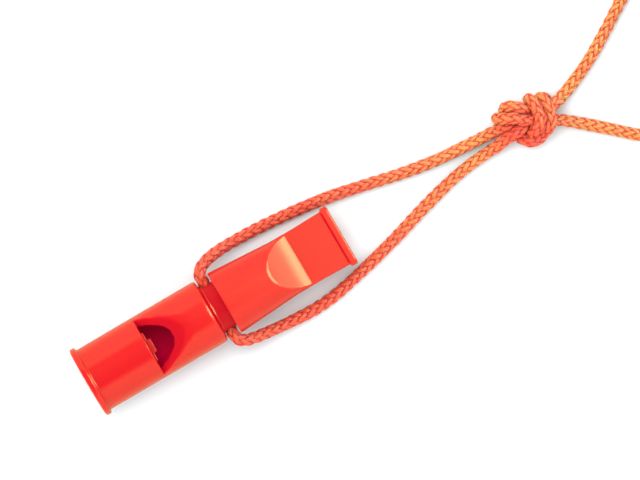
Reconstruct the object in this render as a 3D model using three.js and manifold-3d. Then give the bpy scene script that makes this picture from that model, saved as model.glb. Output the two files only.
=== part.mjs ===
// A double-ended plastic whistle on a braided neck cord.
//
// Two round whistle units stand end to end on one axis, with a narrow neck between them. The
// low-tone unit is the wider one and holds a loose ball. The high-tone unit is a tapered tube
// pushed over a spigot that continues the neck. In each unit a windway block fills the mouth
// end of the bore, its flat top leaving a thin windway under the tube wall. The cord passes
// through an eye in the neck, is knotted in front of the high-tone mouth, and its neck loop is
// put away in a round coil held by a strap.
//
// Millimetres. X runs along the whistle from the low-tone mouth to the high-tone mouth, Z is
// up, and the floor is Z = 0. The origin lies under the middle of the whistle.

import * as THREE from 'three';
import { mergeVertices } from 'three/addons/utils/BufferGeometryUtils.js';
import Module from 'manifold-3d';

const wasm = await Module();
wasm.setup();

// Clearance kept between pieces that touch or fit in each other
const seamGap = 0.3;

// Low-tone unit, lengths counted from its mouth face
const lowLength = 40.9;
const lowRadius = 9.8;
const lowWall = 1.8;
const lowEndWall = 1.8;
const lowFlangeWidth = 1.8;
const lowFlangeRise = 1.0;
const lowWindwayLength = 20.26;
const lowWindwayHeight = 1.4;
const lowWindowFloor = 4.6;
const lowLabiumAngle = 24.5;
const lowBeakStart = 21.2;
const lowBeakRun = 9.6;
const lowTongueHeight = 2.1;
const lowNoseLength = 1.6;
const lowNoseWidth = 4.2;
const lowShoulderLength = 0.6;
const lowShoulderWidth = 9.2;

// High-tone unit, lengths counted from its mouth face
const highLength = 38.9;
const highMouthRadius = 8.73;
const highWaistRadius = 8.47;
const highEndRadius = 9.8;
const highWaistFrom = 10.8;
const highWaistTo = 18.8;
const highWall = 1.6;
const highFlangeWidth = 2.2;
const highFlangeRise = 0.7;
const highWindwayLength = 24.5;
const highWindwayHeight = 1.2;
const highWindowFloor = 3.9;
const highLabiumAngle = 30;
const highBeakStart = 23.5;
const highBeakRun = 8.8;
const highTongueHeight = 1.9;
const highNoseLength = 1.0;
const highNoseWidth = 3.8;
const highShoulderLength = 0.4;
const highShoulderWidth = 7.4;

// Ramp of the beak, as angles to the axis where it leaves the barrel and where it meets the
// tongue, and the fillet at its foot
const beakEntryAngle = 46;
const beakFootAngle = 30;
const beakFootFillet = 0.7;

// Lip of the windway block that carries its nose and shoulders
const noseThickness = 1.5;

// Neck, its eye for the cord, and the spigot that carries the high-tone tube
const neckLength = 4.2;
const neckRadius = 7.5;
const neckFillet = 1.1;
const shoulderRounding = 1.0;
const eyeHeight = 5.4;
const eyeClearance = 0.2;
const socketDepth = 3.7;
const socketWall = 1.7;
const socketLedge = 0.6;
const spigotChamfer = 0.4;

// Loose ball in the low-tone chamber
const peaDiameter = 9.2;

// Cord, knot, coil and strap
const cordDiameter = 3.7;
const knotHeight = 10.0;
const coilTurns = 5.5;
const coilRadius = 21;
const coilCentreX = 180;
const coilCentreY = 1;
const coilTurnGap = 0.55;
const strapAngle = 0;
const strapWidth = 6;
const strapThickness = 0.8;
const strapSlack = 0.3;
const strapEaseAngle = 0.55;

// Smoothness of the round shapes
const barrelSides = 72;
const peaSides = 24;
const strandSides = 8;
const coilSides = 6;
const stepsPerTurn = 24;

// Places along the whistle
const overallLength = lowLength + neckLength + highLength;
const lowMouthX = -overallLength / 2;
const highMouthX = overallLength / 2;
const axisHeight = Math.max(lowRadius, highEndRadius);
const cordRadius = cordDiameter / 2;
const turnPitch = cordDiameter + coilTurnGap;
const peaRadius = peaDiameter / 2;
const socketRadius = highEndRadius - socketWall;
const spigotRadius = socketRadius - seamGap;

const lowUnit = {
  length: lowLength,
  mouthRadius: lowRadius,
  waistRadius: lowRadius,
  endRadius: lowRadius,
  waistFrom: lowLength / 3,
  waistTo: lowLength / 2,
  wall: lowWall,
  boreRadius: lowRadius - lowWall,
  boreEndRadius: lowRadius - lowWall,
  flangeWidth: lowFlangeWidth,
  flangeRise: lowFlangeRise,
  windwayLength: lowWindwayLength,
  windwayHeight: lowWindwayHeight,
  windowFloor: lowWindowFloor,
  labiumAngle: lowLabiumAngle,
  beakStart: lowBeakStart,
  beakRun: lowBeakRun,
  tongueHeight: lowTongueHeight,
  noseLength: lowNoseLength,
  noseWidth: lowNoseWidth,
  shoulderLength: lowShoulderLength,
  shoulderWidth: lowShoulderWidth,
};

const highUnit = {
  length: highLength,
  mouthRadius: highMouthRadius,
  waistRadius: highWaistRadius,
  endRadius: highEndRadius,
  waistFrom: highWaistFrom,
  waistTo: highWaistTo,
  wall: highWall,
  boreRadius: highWaistRadius - highWall,
  boreEndRadius: socketRadius - socketLedge,
  flangeWidth: highFlangeWidth,
  flangeRise: highFlangeRise,
  windwayLength: highWindwayLength,
  windwayHeight: highWindwayHeight,
  windowFloor: highWindowFloor,
  labiumAngle: highLabiumAngle,
  beakStart: highBeakStart,
  beakRun: highBeakRun,
  tongueHeight: highTongueHeight,
  noseLength: highNoseLength,
  noseWidth: highNoseWidth,
  shoulderLength: highShoulderLength,
  shoulderWidth: highShoulderWidth,
};

// Solids and geometries

function solidOf(geometry) {
  const bare = geometry.clone();
  bare.deleteAttribute('normal');
  bare.deleteAttribute('uv');
  const merged = mergeVertices(bare, 1e-4);
  const corners = merged.index.array;
  const kept = [];
  for (let i = 0; i < corners.length; i += 3) {
    const [a, b, c] = [corners[i], corners[i + 1], corners[i + 2]];
    if (a !== b && b !== c && c !== a) kept.push(a, b, c);
  }
  return new wasm.Manifold(new wasm.Mesh({
    numProp: 3,
    vertProperties: new Float32Array(merged.attributes.position.array),
    triVerts: new Uint32Array(kept),
  }));
}

function geometryOf(solid) {
  const mesh = solid.getMesh();
  const geometry = new THREE.BufferGeometry();
  geometry.setAttribute('position', new THREE.BufferAttribute(mesh.vertProperties, 3));
  geometry.setIndex(new THREE.BufferAttribute(mesh.triVerts, 1));
  return geometry;
}

// Turned solid about the X axis, from [place along X, radius] pairs that start and end on it
function turned(profile) {
  const points = profile.map(([along, radius]) => new THREE.Vector2(radius, along));
  const geometry = new THREE.LatheGeometry(points, barrelSides);
  geometry.rotateZ(-Math.PI / 2);
  return solidOf(geometry);
}

// Straight cutter through the whistle along Y, from an outline in X and Z
function crosswise(outline, width) {
  const geometry = new THREE.ExtrudeGeometry(outline, {
    depth: width,
    bevelEnabled: false,
    curveSegments: 10,
  });
  geometry.rotateX(Math.PI / 2);
  geometry.translate(0, width / 2, 0);
  return solidOf(geometry);
}

function block(fromX, toX, width, fromZ, toZ) {
  const geometry = new THREE.BoxGeometry(toX - fromX, width, toZ - fromZ);
  geometry.translate((fromX + toX) / 2, 0, (fromZ + toZ) / 2);
  return solidOf(geometry);
}

// Points of a round edge about a centre, between two angles in degrees
function roundEdge(centreAlong, centreRadius, size, from, to) {
  const steps = 5;
  const points = [];
  for (let i = 0; i <= steps; i += 1) {
    const angle = THREE.MathUtils.degToRad(from + ((to - from) * i) / steps);
    points.push([
      centreAlong + size * Math.cos(angle),
      centreRadius + size * Math.sin(angle),
    ]);
  }
  return points;
}

// Whistle units, each built with its mouth face at X = 0, its chamber towards +X, its window
// on top and its beak underneath

function outerRadius(unit, along) {
  if (along <= unit.waistFrom) {
    const share = along / unit.waistFrom;
    return unit.mouthRadius + share * (unit.waistRadius - unit.mouthRadius);
  }
  if (along <= unit.waistTo) return unit.waistRadius;
  const share = (along - unit.waistTo) / (unit.length - unit.waistTo);
  return unit.waistRadius + share * (unit.endRadius - unit.waistRadius);
}

// Outline of everything under the beak's ramp and tongue, with the surface moved into the
// barrel by a depth, or out of it by a negative one
function beakRegion(unit, depth) {
  const entrySlope = Math.tan(THREE.MathUtils.degToRad(beakEntryAngle));
  const footSlope = Math.tan(THREE.MathUtils.degToRad(beakFootAngle));
  const lean = Math.tan(THREE.MathUtils.degToRad((beakEntryAngle + beakFootAngle) / 4));
  const startX = unit.beakStart + depth * lean;
  const startZ = -outerRadius(unit, unit.beakStart) + depth;
  const footX = startX - unit.beakRun;
  const tongueZ = -unit.tongueHeight + depth;
  const drop = tongueZ - startZ;
  const bendX = startX - (drop - footSlope * unit.beakRun) / (entrySlope - footSlope);
  const bendZ = startZ + entrySlope * (startX - bendX);
  const overshoot = unit.endRadius;
  const outline = new THREE.Shape();
  outline.moveTo(startX + overshoot, startZ - overshoot * entrySlope);
  outline.lineTo(startX, startZ);
  outline.quadraticCurveTo(
    bendX,
    bendZ,
    footX + beakFootFillet,
    tongueZ - beakFootFillet * footSlope,
  );
  outline.quadraticCurveTo(footX, tongueZ, footX - beakFootFillet, tongueZ);
  outline.lineTo(-overshoot, tongueZ);
  outline.lineTo(-overshoot, startZ - overshoot * entrySlope);
  outline.closePath();
  return crosswise(outline, 4 * unit.endRadius);
}

// Wedge of the window: a square edge at the windway's end and a ramp up to the barrel's top,
// whose meeting with the bore is the labium
function windowRegion(unit) {
  const slope = Math.tan(THREE.MathUtils.degToRad(unit.labiumAngle));
  const height = 2 * unit.endRadius;
  const outline = new THREE.Shape();
  outline.moveTo(unit.windwayLength, unit.windowFloor);
  outline.lineTo(unit.windwayLength + height / slope, unit.windowFloor + height);
  outline.lineTo(unit.windwayLength, unit.windowFloor + height);
  outline.closePath();
  return crosswise(outline, 4 * unit.endRadius);
}

// Rounded rim round the mouth, drawn in to the barrel by a fillet
function flange(unit) {
  const rimRadius = unit.mouthRadius + unit.flangeRise;
  const rounding = 0.6 * unit.flangeRise;
  const fillet = unit.flangeRise - rounding;
  const profile = [
    [0, 0],
    ...roundEdge(rounding, rimRadius - rounding, rounding, 180, 90),
    ...roundEdge(unit.flangeWidth - rounding, rimRadius - rounding, rounding, 90, 0),
    ...roundEdge(unit.flangeWidth + fillet, unit.mouthRadius + fillet, fillet, 180, 270),
    [unit.flangeWidth + fillet, 0],
  ];
  return turned(profile).subtract(beakRegion(unit, -unit.flangeRise));
}

// Bore from in front of the mouth face to a given depth, made smaller by an inset
function boreSolid(unit, from, to, inset) {
  const radiusAt = (along) => boreRadius(unit, along) - inset;
  const profile = [[from, 0], [from, radiusAt(from)]];
  if (from < unit.waistTo && unit.waistTo < to) {
    profile.push([unit.waistTo, radiusAt(unit.waistTo)]);
  }
  profile.push([to, radiusAt(to)], [to, 0]);
  return turned(profile);
}

function boreRadius(unit, along) {
  if (along <= unit.waistTo) return unit.boreRadius;
  const share = (along - unit.waistTo) / (unit.length - unit.waistTo);
  return unit.boreRadius + share * (unit.boreEndRadius - unit.boreRadius);
}

// Windway block: a plug that fits the bore, with a flat top as the windway's floor, and a
// nose between two shoulders that lead the air onto the labium
function windwayBlock(unit, sides) {
  const floorZ = unit.boreRadius - unit.windwayHeight;
  const end = unit.windwayLength;
  const fit = boreSolid(unit, 0, end + unit.noseLength, seamGap);
  const body = boreSolid(unit, 0, end, seamGap);
  const nose = block(end - 1, end + unit.noseLength, unit.noseWidth, floorZ - noseThickness, floorZ);
  const shoulders = block(
    end - 1,
    end + unit.shoulderLength,
    unit.shoulderWidth,
    floorZ - noseThickness,
    floorZ,
  );
  const lips = nose.add(shoulders).intersect(fit);
  const above = block(-1, end + 1, 4 * unit.endRadius, floorZ, 2 * unit.endRadius);
  return body.add(lips).subtract(above).subtract(sides);
}

// Low-tone moulding: barrel, shoulder, neck and spigot in one piece
function lowBarrel() {
  const unit = lowUnit;
  const end = unit.length;
  const neckEnd = end + neckLength;
  const spigotTip = neckEnd + socketDepth - seamGap;
  const outside = turned([
    [0, 0],
    [0, unit.mouthRadius],
    ...roundEdge(end - shoulderRounding, unit.endRadius - shoulderRounding, shoulderRounding, 90, 0),
    ...roundEdge(end + neckFillet, neckRadius + neckFillet, neckFillet, 180, 270),
    [neckEnd, neckRadius],
    [neckEnd, spigotRadius],
    [spigotTip - spigotChamfer, spigotRadius],
    [spigotTip, spigotRadius - spigotChamfer],
    [spigotTip, 0],
  ]);
  const bore = boreSolid(unit, -1, end - lowEndWall, 0);
  return outside
    .subtract(beakRegion(unit, 0))
    .add(flange(unit))
    .subtract(bore)
    .subtract(windowRegion(unit))
    .subtract(cordEye());
}

// Eye through the neck for the cord, with half-round ends above and below it
function cordEye() {
  const radius = cordRadius + eyeClearance;
  const straight = eyeHeight / 2 - radius;
  const middle = lowUnit.length + neckLength / 2;
  const outline = new THREE.Shape();
  outline.absarc(middle, straight, radius, 0, Math.PI, false);
  outline.absarc(middle, -straight, radius, Math.PI, 2 * Math.PI, false);
  outline.closePath();
  return crosswise(outline, 4 * lowUnit.endRadius);
}

// The low-tone block closes the beak itself: its underside is the ramp and the tongue, and a
// bar across its mouth end completes the flange
function lowWindwayBlock() {
  const unit = lowUnit;
  const plug = windwayBlock(unit, beakRegion(unit, 0));
  const floorZ = unit.boreRadius - unit.windwayHeight;
  const bar = boreSolid(unit, 0, unit.flangeWidth, seamGap)
    .subtract(beakRegion(unit, -unit.flangeRise))
    .subtract(block(-1, unit.flangeWidth + 1, 4 * unit.endRadius, floorZ, 2 * unit.endRadius));
  return plug.add(bar);
}

// High-tone tube: tapered outside, beak closed by its own wall, socket at the neck end
function highBarrel() {
  const unit = highUnit;
  const end = unit.length;
  const outside = turned([
    [0, 0],
    [0, unit.mouthRadius],
    [unit.waistFrom, unit.waistRadius],
    [unit.waistTo, unit.waistRadius],
    [end, unit.endRadius],
    [end, 0],
  ]);
  const bore = boreSolid(unit, -1, end, 0).subtract(beakRegion(unit, unit.wall));
  const socket = turned([
    [end - socketDepth, 0],
    [end - socketDepth, socketRadius],
    [end + 1, socketRadius],
    [end + 1, 0],
  ]);
  return outside
    .subtract(beakRegion(unit, 0))
    .add(flange(unit))
    .subtract(bore)
    .subtract(socket)
    .subtract(windowRegion(unit));
}

function highWindwayBlock() {
  return windwayBlock(highUnit, beakRegion(highUnit, highUnit.wall + seamGap));
}

// Cord routes: centre points chosen by hand, from the knot through the eye and back

const loopRoute = [
  [91.0, 3.4, 2.3],
  [84.0, 3.9, 1.9],
  [76.9, 4.5, 1.85],
  [65.7, 6.3, 1.85],
  [54.2, 8.9, 1.85],
  [42.7, 11.3, 1.85],
  [31.4, 12.8, 1.85],
  [23.6, 13.5, 2.05],
  [17.7, 13.8, 2.75],
  [12.5, 13.9, 4.0],
  [8.5, 13.7, 5.6],
  [5.4, 13.2, 7.2],
  [3.2, 12.4, 8.5],
  [1.5, 11.2, 9.4],
  [1.0, 9.4, 9.75],
  [1.0, 5.0, 9.8],
  [1.0, 0.0, 9.8],
  [1.0, -5.0, 9.8],
  [1.0, -9.4, 9.75],
  [1.5, -11.1, 9.4],
  [3.1, -12.2, 8.5],
  [5.3, -12.8, 7.2],
  [8.5, -13.3, 5.6],
  [12.7, -13.8, 4.0],
  [18.0, -14.3, 2.75],
  [24.6, -14.6, 2.05],
  [31.3, -14.1, 1.85],
  [42.5, -11.8, 1.85],
  [54.1, -8.9, 1.85],
  [65.6, -5.5, 1.85],
  [76.8, -2.6, 1.85],
  [84.0, -1.4, 1.9],
  [91.0, -0.9, 2.3],
];

const upperStrandRoute = [
  [116.0, 2.1, 2.6],
  [122.3, 4.5, 1.95],
  [128.9, 7.6, 1.85],
  [136.5, 12.1, 1.85],
  [144.5, 17.2, 1.85],
  [152.3, 21.7, 1.85],
  [160.6, 25.1, 1.85],
  [168.0, 26.9, 1.85],
];

const lowerStrandRoute = [
  [115.0, -5.5, 2.6],
  [122.9, -12.4, 1.95],
  [130.2, -18.9, 1.85],
  [137.1, -22.9, 1.85],
  [145.3, -25.0, 1.95],
  [154.3, -25.6, 2.7],
  [164.0, -25.7, 4.4],
];

// Tube along a route, with its rings placed by the route's own points
function strand(route, steps) {
  const path = new THREE.CatmullRomCurve3(route.map((point) => new THREE.Vector3(...point)));
  path.getUtoTmapping = (share) => share;
  const section = new THREE.Shape();
  for (let i = 0; i < strandSides; i += 1) {
    const angle = ((i + 0.5) * 2 * Math.PI) / strandSides;
    const [x, y] = [cordRadius * Math.cos(angle), cordRadius * Math.sin(angle)];
    if (i === 0) section.moveTo(x, y);
    else section.lineTo(x, y);
  }
  section.closePath();
  return solidOf(new THREE.ExtrudeGeometry(section, { steps, extrudePath: path }));
}

// Middle line of the coil: it enters on top, heading for +X, spirals in on the floor, climbs a
// layer in the half turn where it reverses, spirals out and leaves below, heading for -X
function coilLine() {
  const half = coilTurns / 2;
  const outerTurn = coilRadius + (turnPitch * half) / 2;
  const innerTurn = outerTurn - turnPitch * half;
  const strapHalfAngle = strapWidth / 2 / (innerTurn - cordRadius);
  const steps = Math.round(coilTurns * stepsPerTurn);
  const points = [];
  for (let i = 0; i <= steps; i += 1) {
    const turn = (coilTurns * i) / steps;
    const angle = Math.PI / 2 - 2 * Math.PI * turn;
    const radius = outerTurn - turnPitch * (half - Math.abs(half - turn));
    const climb = THREE.MathUtils.smoothstep(turn, half - 0.25, half + 0.25);
    const fromStrap = Math.atan2(Math.sin(angle - strapAngle), Math.cos(angle - strapAngle));
    const lift = 1 - THREE.MathUtils.smoothstep(
      Math.abs(fromStrap),
      strapHalfAngle,
      strapHalfAngle + strapEaseAngle,
    );
    points.push(new THREE.Vector3(
      coilCentreX + radius * Math.cos(angle),
      coilCentreY + radius * Math.sin(angle),
      cordRadius + (strapThickness + seamGap) * lift + turnPitch * climb,
    ));
  }
  const lead = new THREE.Vector3(-cordDiameter, 0, 0);
  points.unshift(points[0].clone().add(lead));
  points.push(points[points.length - 1].clone().add(lead));
  return points;
}

// Least gap between one turn of the coil and any other
function leastGap(points) {
  let least = Infinity;
  for (let i = 0; i < points.length; i += 1) {
    for (let j = i + Math.round(stepsPerTurn / 2); j < points.length; j += 1) {
      least = Math.min(least, points[i].distanceTo(points[j]));
    }
  }
  return least - cordDiameter;
}

// Wound tube: a ring of corners on every point of its middle line, and a flat cap on each end
function woundTube(points) {
  const vertices = [];
  const triangles = [];
  const up = new THREE.Vector3(0, 0, 1);
  points.forEach((point, i) => {
    const before = points[Math.max(i - 1, 0)];
    const after = points[Math.min(i + 1, points.length - 1)];
    const along = after.clone().sub(before).normalize();
    const across = along.clone().cross(up).normalize();
    const over = across.clone().cross(along);
    for (let k = 0; k < coilSides; k += 1) {
      const angle = ((k + 0.5) * 2 * Math.PI) / coilSides;
      vertices.push(...point.clone()
        .addScaledVector(across, cordRadius * Math.cos(angle))
        .addScaledVector(over, cordRadius * Math.sin(angle)));
    }
  });
  const last = (points.length - 1) * coilSides;
  for (let ring = 0; ring < last; ring += coilSides) {
    for (let k = 0; k < coilSides; k += 1) {
      const [a, b] = [ring + k, ring + ((k + 1) % coilSides)];
      triangles.push(a, b + coilSides, b, a, a + coilSides, b + coilSides);
    }
  }
  for (let k = 1; k < coilSides - 1; k += 1) {
    triangles.push(0, k, k + 1, last, last + k + 1, last + k);
  }
  const geometry = new THREE.BufferGeometry();
  geometry.setAttribute('position', new THREE.Float32BufferAttribute(vertices, 3));
  geometry.setIndex(triangles);
  return solidOf(geometry);
}

// Strap round the coil's turns, with rounded corners
function coilStrap() {
  const turnsAcross = Math.ceil(coilTurns / 2);
  const innerWidth = (turnsAcross - 1) * turnPitch + cordDiameter + 2 * (seamGap + strapSlack);
  const innerHeight = turnPitch + cordDiameter + 2 * seamGap;
  const outer = roundedSection(
    innerWidth + 2 * strapThickness,
    innerHeight + 2 * strapThickness,
    cordRadius + strapThickness,
  );
  outer.holes.push(roundedSection(innerWidth, innerHeight, cordRadius));
  const geometry = new THREE.ExtrudeGeometry(outer, {
    depth: strapWidth,
    bevelEnabled: false,
    curveSegments: 4,
  });
  geometry.translate(0, innerHeight / 2 + strapThickness, -strapWidth / 2);
  geometry.rotateX(Math.PI / 2);
  geometry.translate(strapMiddleRadius(), 0, 0);
  geometry.rotateZ(strapAngle);
  geometry.translate(coilCentreX, coilCentreY, 0);
  return solidOf(geometry);
}

// Radius at which the turns under the strap have their middle
function strapMiddleRadius() {
  const outerTurn = coilRadius + (turnPitch * coilTurns) / 4;
  const turnAtStrap = (Math.PI / 2 - strapAngle) / (2 * Math.PI);
  return outerTurn - turnPitch * (turnAtStrap + (Math.ceil(coilTurns / 2) - 1) / 2);
}

function roundedSection(width, height, radius) {
  const [x, y] = [width / 2 - radius, height / 2 - radius];
  const outline = new THREE.Shape();
  outline.absarc(x, y, radius, 0, Math.PI / 2, false);
  outline.absarc(-x, y, radius, Math.PI / 2, Math.PI, false);
  outline.absarc(-x, -y, radius, Math.PI, 1.5 * Math.PI, false);
  outline.absarc(x, -y, radius, 1.5 * Math.PI, 2 * Math.PI, false);
  outline.closePath();
  return outline;
}

// Knot: rounded lobes of doubled cord, and the stub of each strand that enters or leaves it

const knotLobes = [
  { x: 102.1, y: 4.6, length: 13.2, width: 8.4, turn: 4 },
  { x: 108.9, y: 2.0, length: 9.0, width: 14.2, turn: 18 },
  { x: 104.6, y: -1.4, length: 11.0, width: 8.2, turn: -14 },
];

// Each stub goes straight on from its strand's end, for as long as it takes to reach the lobes
const knotStubs = [
  { end: loopRoute[0], next: loopRoute[1], length: 8 },
  { end: loopRoute[loopRoute.length - 1], next: loopRoute[loopRoute.length - 2], length: 10 },
  { end: upperStrandRoute[0], next: upperStrandRoute[1], length: 8 },
  { end: lowerStrandRoute[0], next: lowerStrandRoute[1], length: 8 },
];

function cordKnot() {
  const lobes = knotLobes.map((lobe) => {
    const geometry = new THREE.SphereGeometry(0.5, 20, 12);
    geometry.scale(lobe.length, lobe.width, knotHeight);
    geometry.rotateZ(THREE.MathUtils.degToRad(lobe.turn));
    geometry.translate(lobe.x, lobe.y, knotHeight / 2);
    return solidOf(geometry);
  });
  const stubs = knotStubs.map(({ end, next, length }) => {
    const from = new THREE.Vector3(...end);
    const inward = from.clone().sub(new THREE.Vector3(...next)).normalize();
    const path = new THREE.LineCurve3(
      from.clone().addScaledVector(inward, seamGap),
      from.clone().addScaledVector(inward, length),
    );
    const section = new THREE.Shape().absarc(0, 0, cordRadius, 0, 2 * Math.PI, false);
    return solidOf(new THREE.ExtrudeGeometry(section, {
      steps: 1,
      curveSegments: strandSides,
      extrudePath: path,
    }));
  });
  return [...lobes, ...stubs].reduce((whole, piece) => whole.add(piece));
}

// Materials

function gloss(color) {
  return new THREE.MeshStandardMaterial({ color, roughness: 0.22, metalness: 0 });
}

function matt(color) {
  return new THREE.MeshStandardMaterial({ color, roughness: 0.85, metalness: 0 });
}

const plasticColour = 0xf5402c;
const blockColour = 0xea3226;
const corkColour = 0xb98a5c;
const cordColour = 0xf2602c;
const strapColour = 0x2a2a2c;

// Assembly

const group = new THREE.Group();

const lowSide = new THREE.Group();
lowSide.position.set(lowMouthX, 0, axisHeight);
group.add(lowSide);

const highSide = new THREE.Group();
highSide.position.set(highMouthX, 0, axisHeight);
highSide.rotation.y = Math.PI;
group.add(highSide);

function place(parent, name, geometry, material) {
  const mesh = new THREE.Mesh(geometry, material);
  mesh.name = name;
  parent.add(mesh);
  return mesh;
}

place(lowSide, 'low_barrel', geometryOf(lowBarrel()), gloss(plasticColour));
place(lowSide, 'low_windway_block', geometryOf(lowWindwayBlock()), gloss(blockColour));
place(highSide, 'high_barrel', geometryOf(highBarrel()), gloss(plasticColour));
place(highSide, 'high_windway_block', geometryOf(highWindwayBlock()), gloss(blockColour));

// The ball lies on the chamber's floor, at its neck end
const peaGeometry = new THREE.SphereGeometry(peaRadius, peaSides, (2 * peaSides) / 3);
const pea = place(lowSide, 'pea', geometryOf(solidOf(peaGeometry)), matt(corkColour));
pea.position.set(
  lowUnit.length - lowEndWall - peaRadius - seamGap,
  0,
  -(lowUnit.boreRadius - peaRadius - seamGap),
);

const coilPoints = coilLine();
console.log(`least gap between the coil's turns: ${leastGap(coilPoints).toFixed(2)} mm`);

// Both free strands end straight, square to the coil's two ends
function towardsCoil(route, { x, y, z }) {
  return [...route, [x - cordDiameter, y, z], [x - seamGap, y, z]];
}

const upperRoute = towardsCoil(upperStrandRoute, coilPoints[0]);
const lowerRoute = towardsCoil(lowerStrandRoute, coilPoints[coilPoints.length - 1]);

place(group, 'cord_whistle_loop', geometryOf(strand(loopRoute, 44)), matt(cordColour));
place(group, 'cord_upper_strand', geometryOf(strand(upperRoute, 12)), matt(cordColour));
place(group, 'cord_lower_strand', geometryOf(strand(lowerRoute, 12)), matt(cordColour));
place(group, 'cord_coil', geometryOf(woundTube(coilPoints)), matt(cordColour));
place(group, 'cord_knot', geometryOf(cordKnot()), matt(cordColour));
place(group, 'coil_strap', geometryOf(coilStrap()), matt(strapColour));

export default group;
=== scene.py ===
# A double-ended plastic whistle on a braided neck cord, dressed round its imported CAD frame.
#
# The barrels, the windway blocks and the loose ball are skinned from distance fields, so that
# every edge carries its moulded rounding. The cord is one closed braid of twelve yarns, from the
# eye of the whistle through the knot to the neck loop and back.
#
# Blender's own lengths are metres. The makers' numbers below are millimetres, and MM turns them
# into metres where a mesh, the camera or a declaration needs it.

import math

import bpy
import numpy as np
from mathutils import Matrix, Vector, noise


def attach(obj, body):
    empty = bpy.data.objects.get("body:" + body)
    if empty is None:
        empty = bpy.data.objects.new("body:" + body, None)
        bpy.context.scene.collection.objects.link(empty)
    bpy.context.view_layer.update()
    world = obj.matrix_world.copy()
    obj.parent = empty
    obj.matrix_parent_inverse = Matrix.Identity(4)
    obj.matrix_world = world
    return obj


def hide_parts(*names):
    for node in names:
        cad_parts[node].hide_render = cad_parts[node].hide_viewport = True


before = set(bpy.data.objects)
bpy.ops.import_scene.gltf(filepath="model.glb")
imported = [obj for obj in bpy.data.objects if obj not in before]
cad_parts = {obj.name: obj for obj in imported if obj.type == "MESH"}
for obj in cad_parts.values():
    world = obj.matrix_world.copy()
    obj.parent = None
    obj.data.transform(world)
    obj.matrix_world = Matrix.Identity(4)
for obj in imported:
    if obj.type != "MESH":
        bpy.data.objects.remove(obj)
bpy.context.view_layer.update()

MM = 0.001
TURN = 2 * math.pi
YARN_WIDTH = 1.6


# Camera: straight down over the whistle, with the picture turned about the line of sight

CAMERA_OVER = (35.8, 1.7)
CAMERA_HEIGHT = 4000.0
CAMERA_TURN = -30.4
VIEW_WIDTH = 182.6
VIEW_LEVEL = 9.8
SENSOR_WIDTH = 36.0


def place_camera():
    data = bpy.data.cameras.new("camera")
    data.sensor_width = SENSOR_WIDTH
    data.lens = SENSOR_WIDTH * (CAMERA_HEIGHT - VIEW_LEVEL) / VIEW_WIDTH
    data.clip_start = 0.01
    data.clip_end = 20.0
    camera = bpy.data.objects.new("camera", data)
    camera.location = (CAMERA_OVER[0] * MM, CAMERA_OVER[1] * MM, CAMERA_HEIGHT * MM)
    camera.rotation_euler = (0.0, 0.0, math.radians(CAMERA_TURN))
    bpy.context.scene.collection.objects.link(camera)
    bpy.context.scene.camera = camera


place_camera()


# Node trees

def node(tree, kind, inputs=None, **settings):
    """A node with its settings, and its inputs joined or set by name or number."""
    made = tree.nodes.new("ShaderNode" + kind)
    for name, value in settings.items():
        setattr(made, name, value)
    for key, value in (inputs or {}).items():
        join(tree, value, made.inputs[key])
    return made


def join(tree, value, socket):
    """Link a socket to a value, or set it where the value is a plain number or colour."""
    if isinstance(value, bpy.types.NodeSocket):
        tree.links.new(value, socket)
    else:
        socket.default_value = value


def sums(tree, operation, *values):
    """The result of one Math operation."""
    made = node(tree, "Math", operation=operation)
    for i, value in enumerate(values):
        join(tree, value, made.inputs[i])
    return made.outputs[0]


def between(tree, value, low, high, to_low=0.0, to_high=1.0, smooth=True):
    """A value's share of the way from low to high, eased at both ends."""
    made = node(tree, "MapRange", interpolation_type="SMOOTHSTEP" if smooth else "LINEAR")
    for name, number in zip(("Value", "From Min", "From Max", "To Min", "To Max"),
                            (value, low, high, to_low, to_high)):
        join(tree, number, made.inputs[name])
    return made.outputs["Result"]


def mixed(tree, share, first, second):
    made = node(tree, "Mix", data_type="RGBA")
    join(tree, share, made.inputs["Factor"])
    join(tree, first, made.inputs[6])
    join(tree, second, made.inputs[7])
    return made.outputs[2]


def new_group(name, inputs, outputs):
    """An empty effect with named inputs and outputs."""
    tree = bpy.data.node_groups.new(name, "ShaderNodeTree")
    for label, kind, value in inputs:
        socket = tree.interface.new_socket(name=label, in_out="INPUT", socket_type=kind)
        socket.default_value = value
    for label, kind in outputs:
        tree.interface.new_socket(name=label, in_out="OUTPUT", socket_type=kind)
    return tree, tree.nodes.new("NodeGroupInput").outputs, tree.nodes.new("NodeGroupOutput").inputs


FLOAT, COLOUR = "NodeSocketFloat", "NodeSocketColor"


def per_mm(tree, size, stretch=(1.0, 1.0, 1.0)):
    """Coordinates fixed to the piece, one unit to each size in millimetres."""
    place = node(tree, "TexCoord").outputs["Object"]
    scaled = node(tree, "VectorMath", {0: place, "Scale": 1000.0}, operation="SCALE")
    shaped = node(tree, "VectorMath", {0: scaled.outputs[0], 1: stretch}, operation="MULTIPLY")
    made = node(tree, "VectorMath", {0: shaped.outputs[0]}, operation="SCALE")
    join(tree, sums(tree, "DIVIDE", 1.0, size), made.inputs["Scale"])
    return made.outputs[0]


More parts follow.
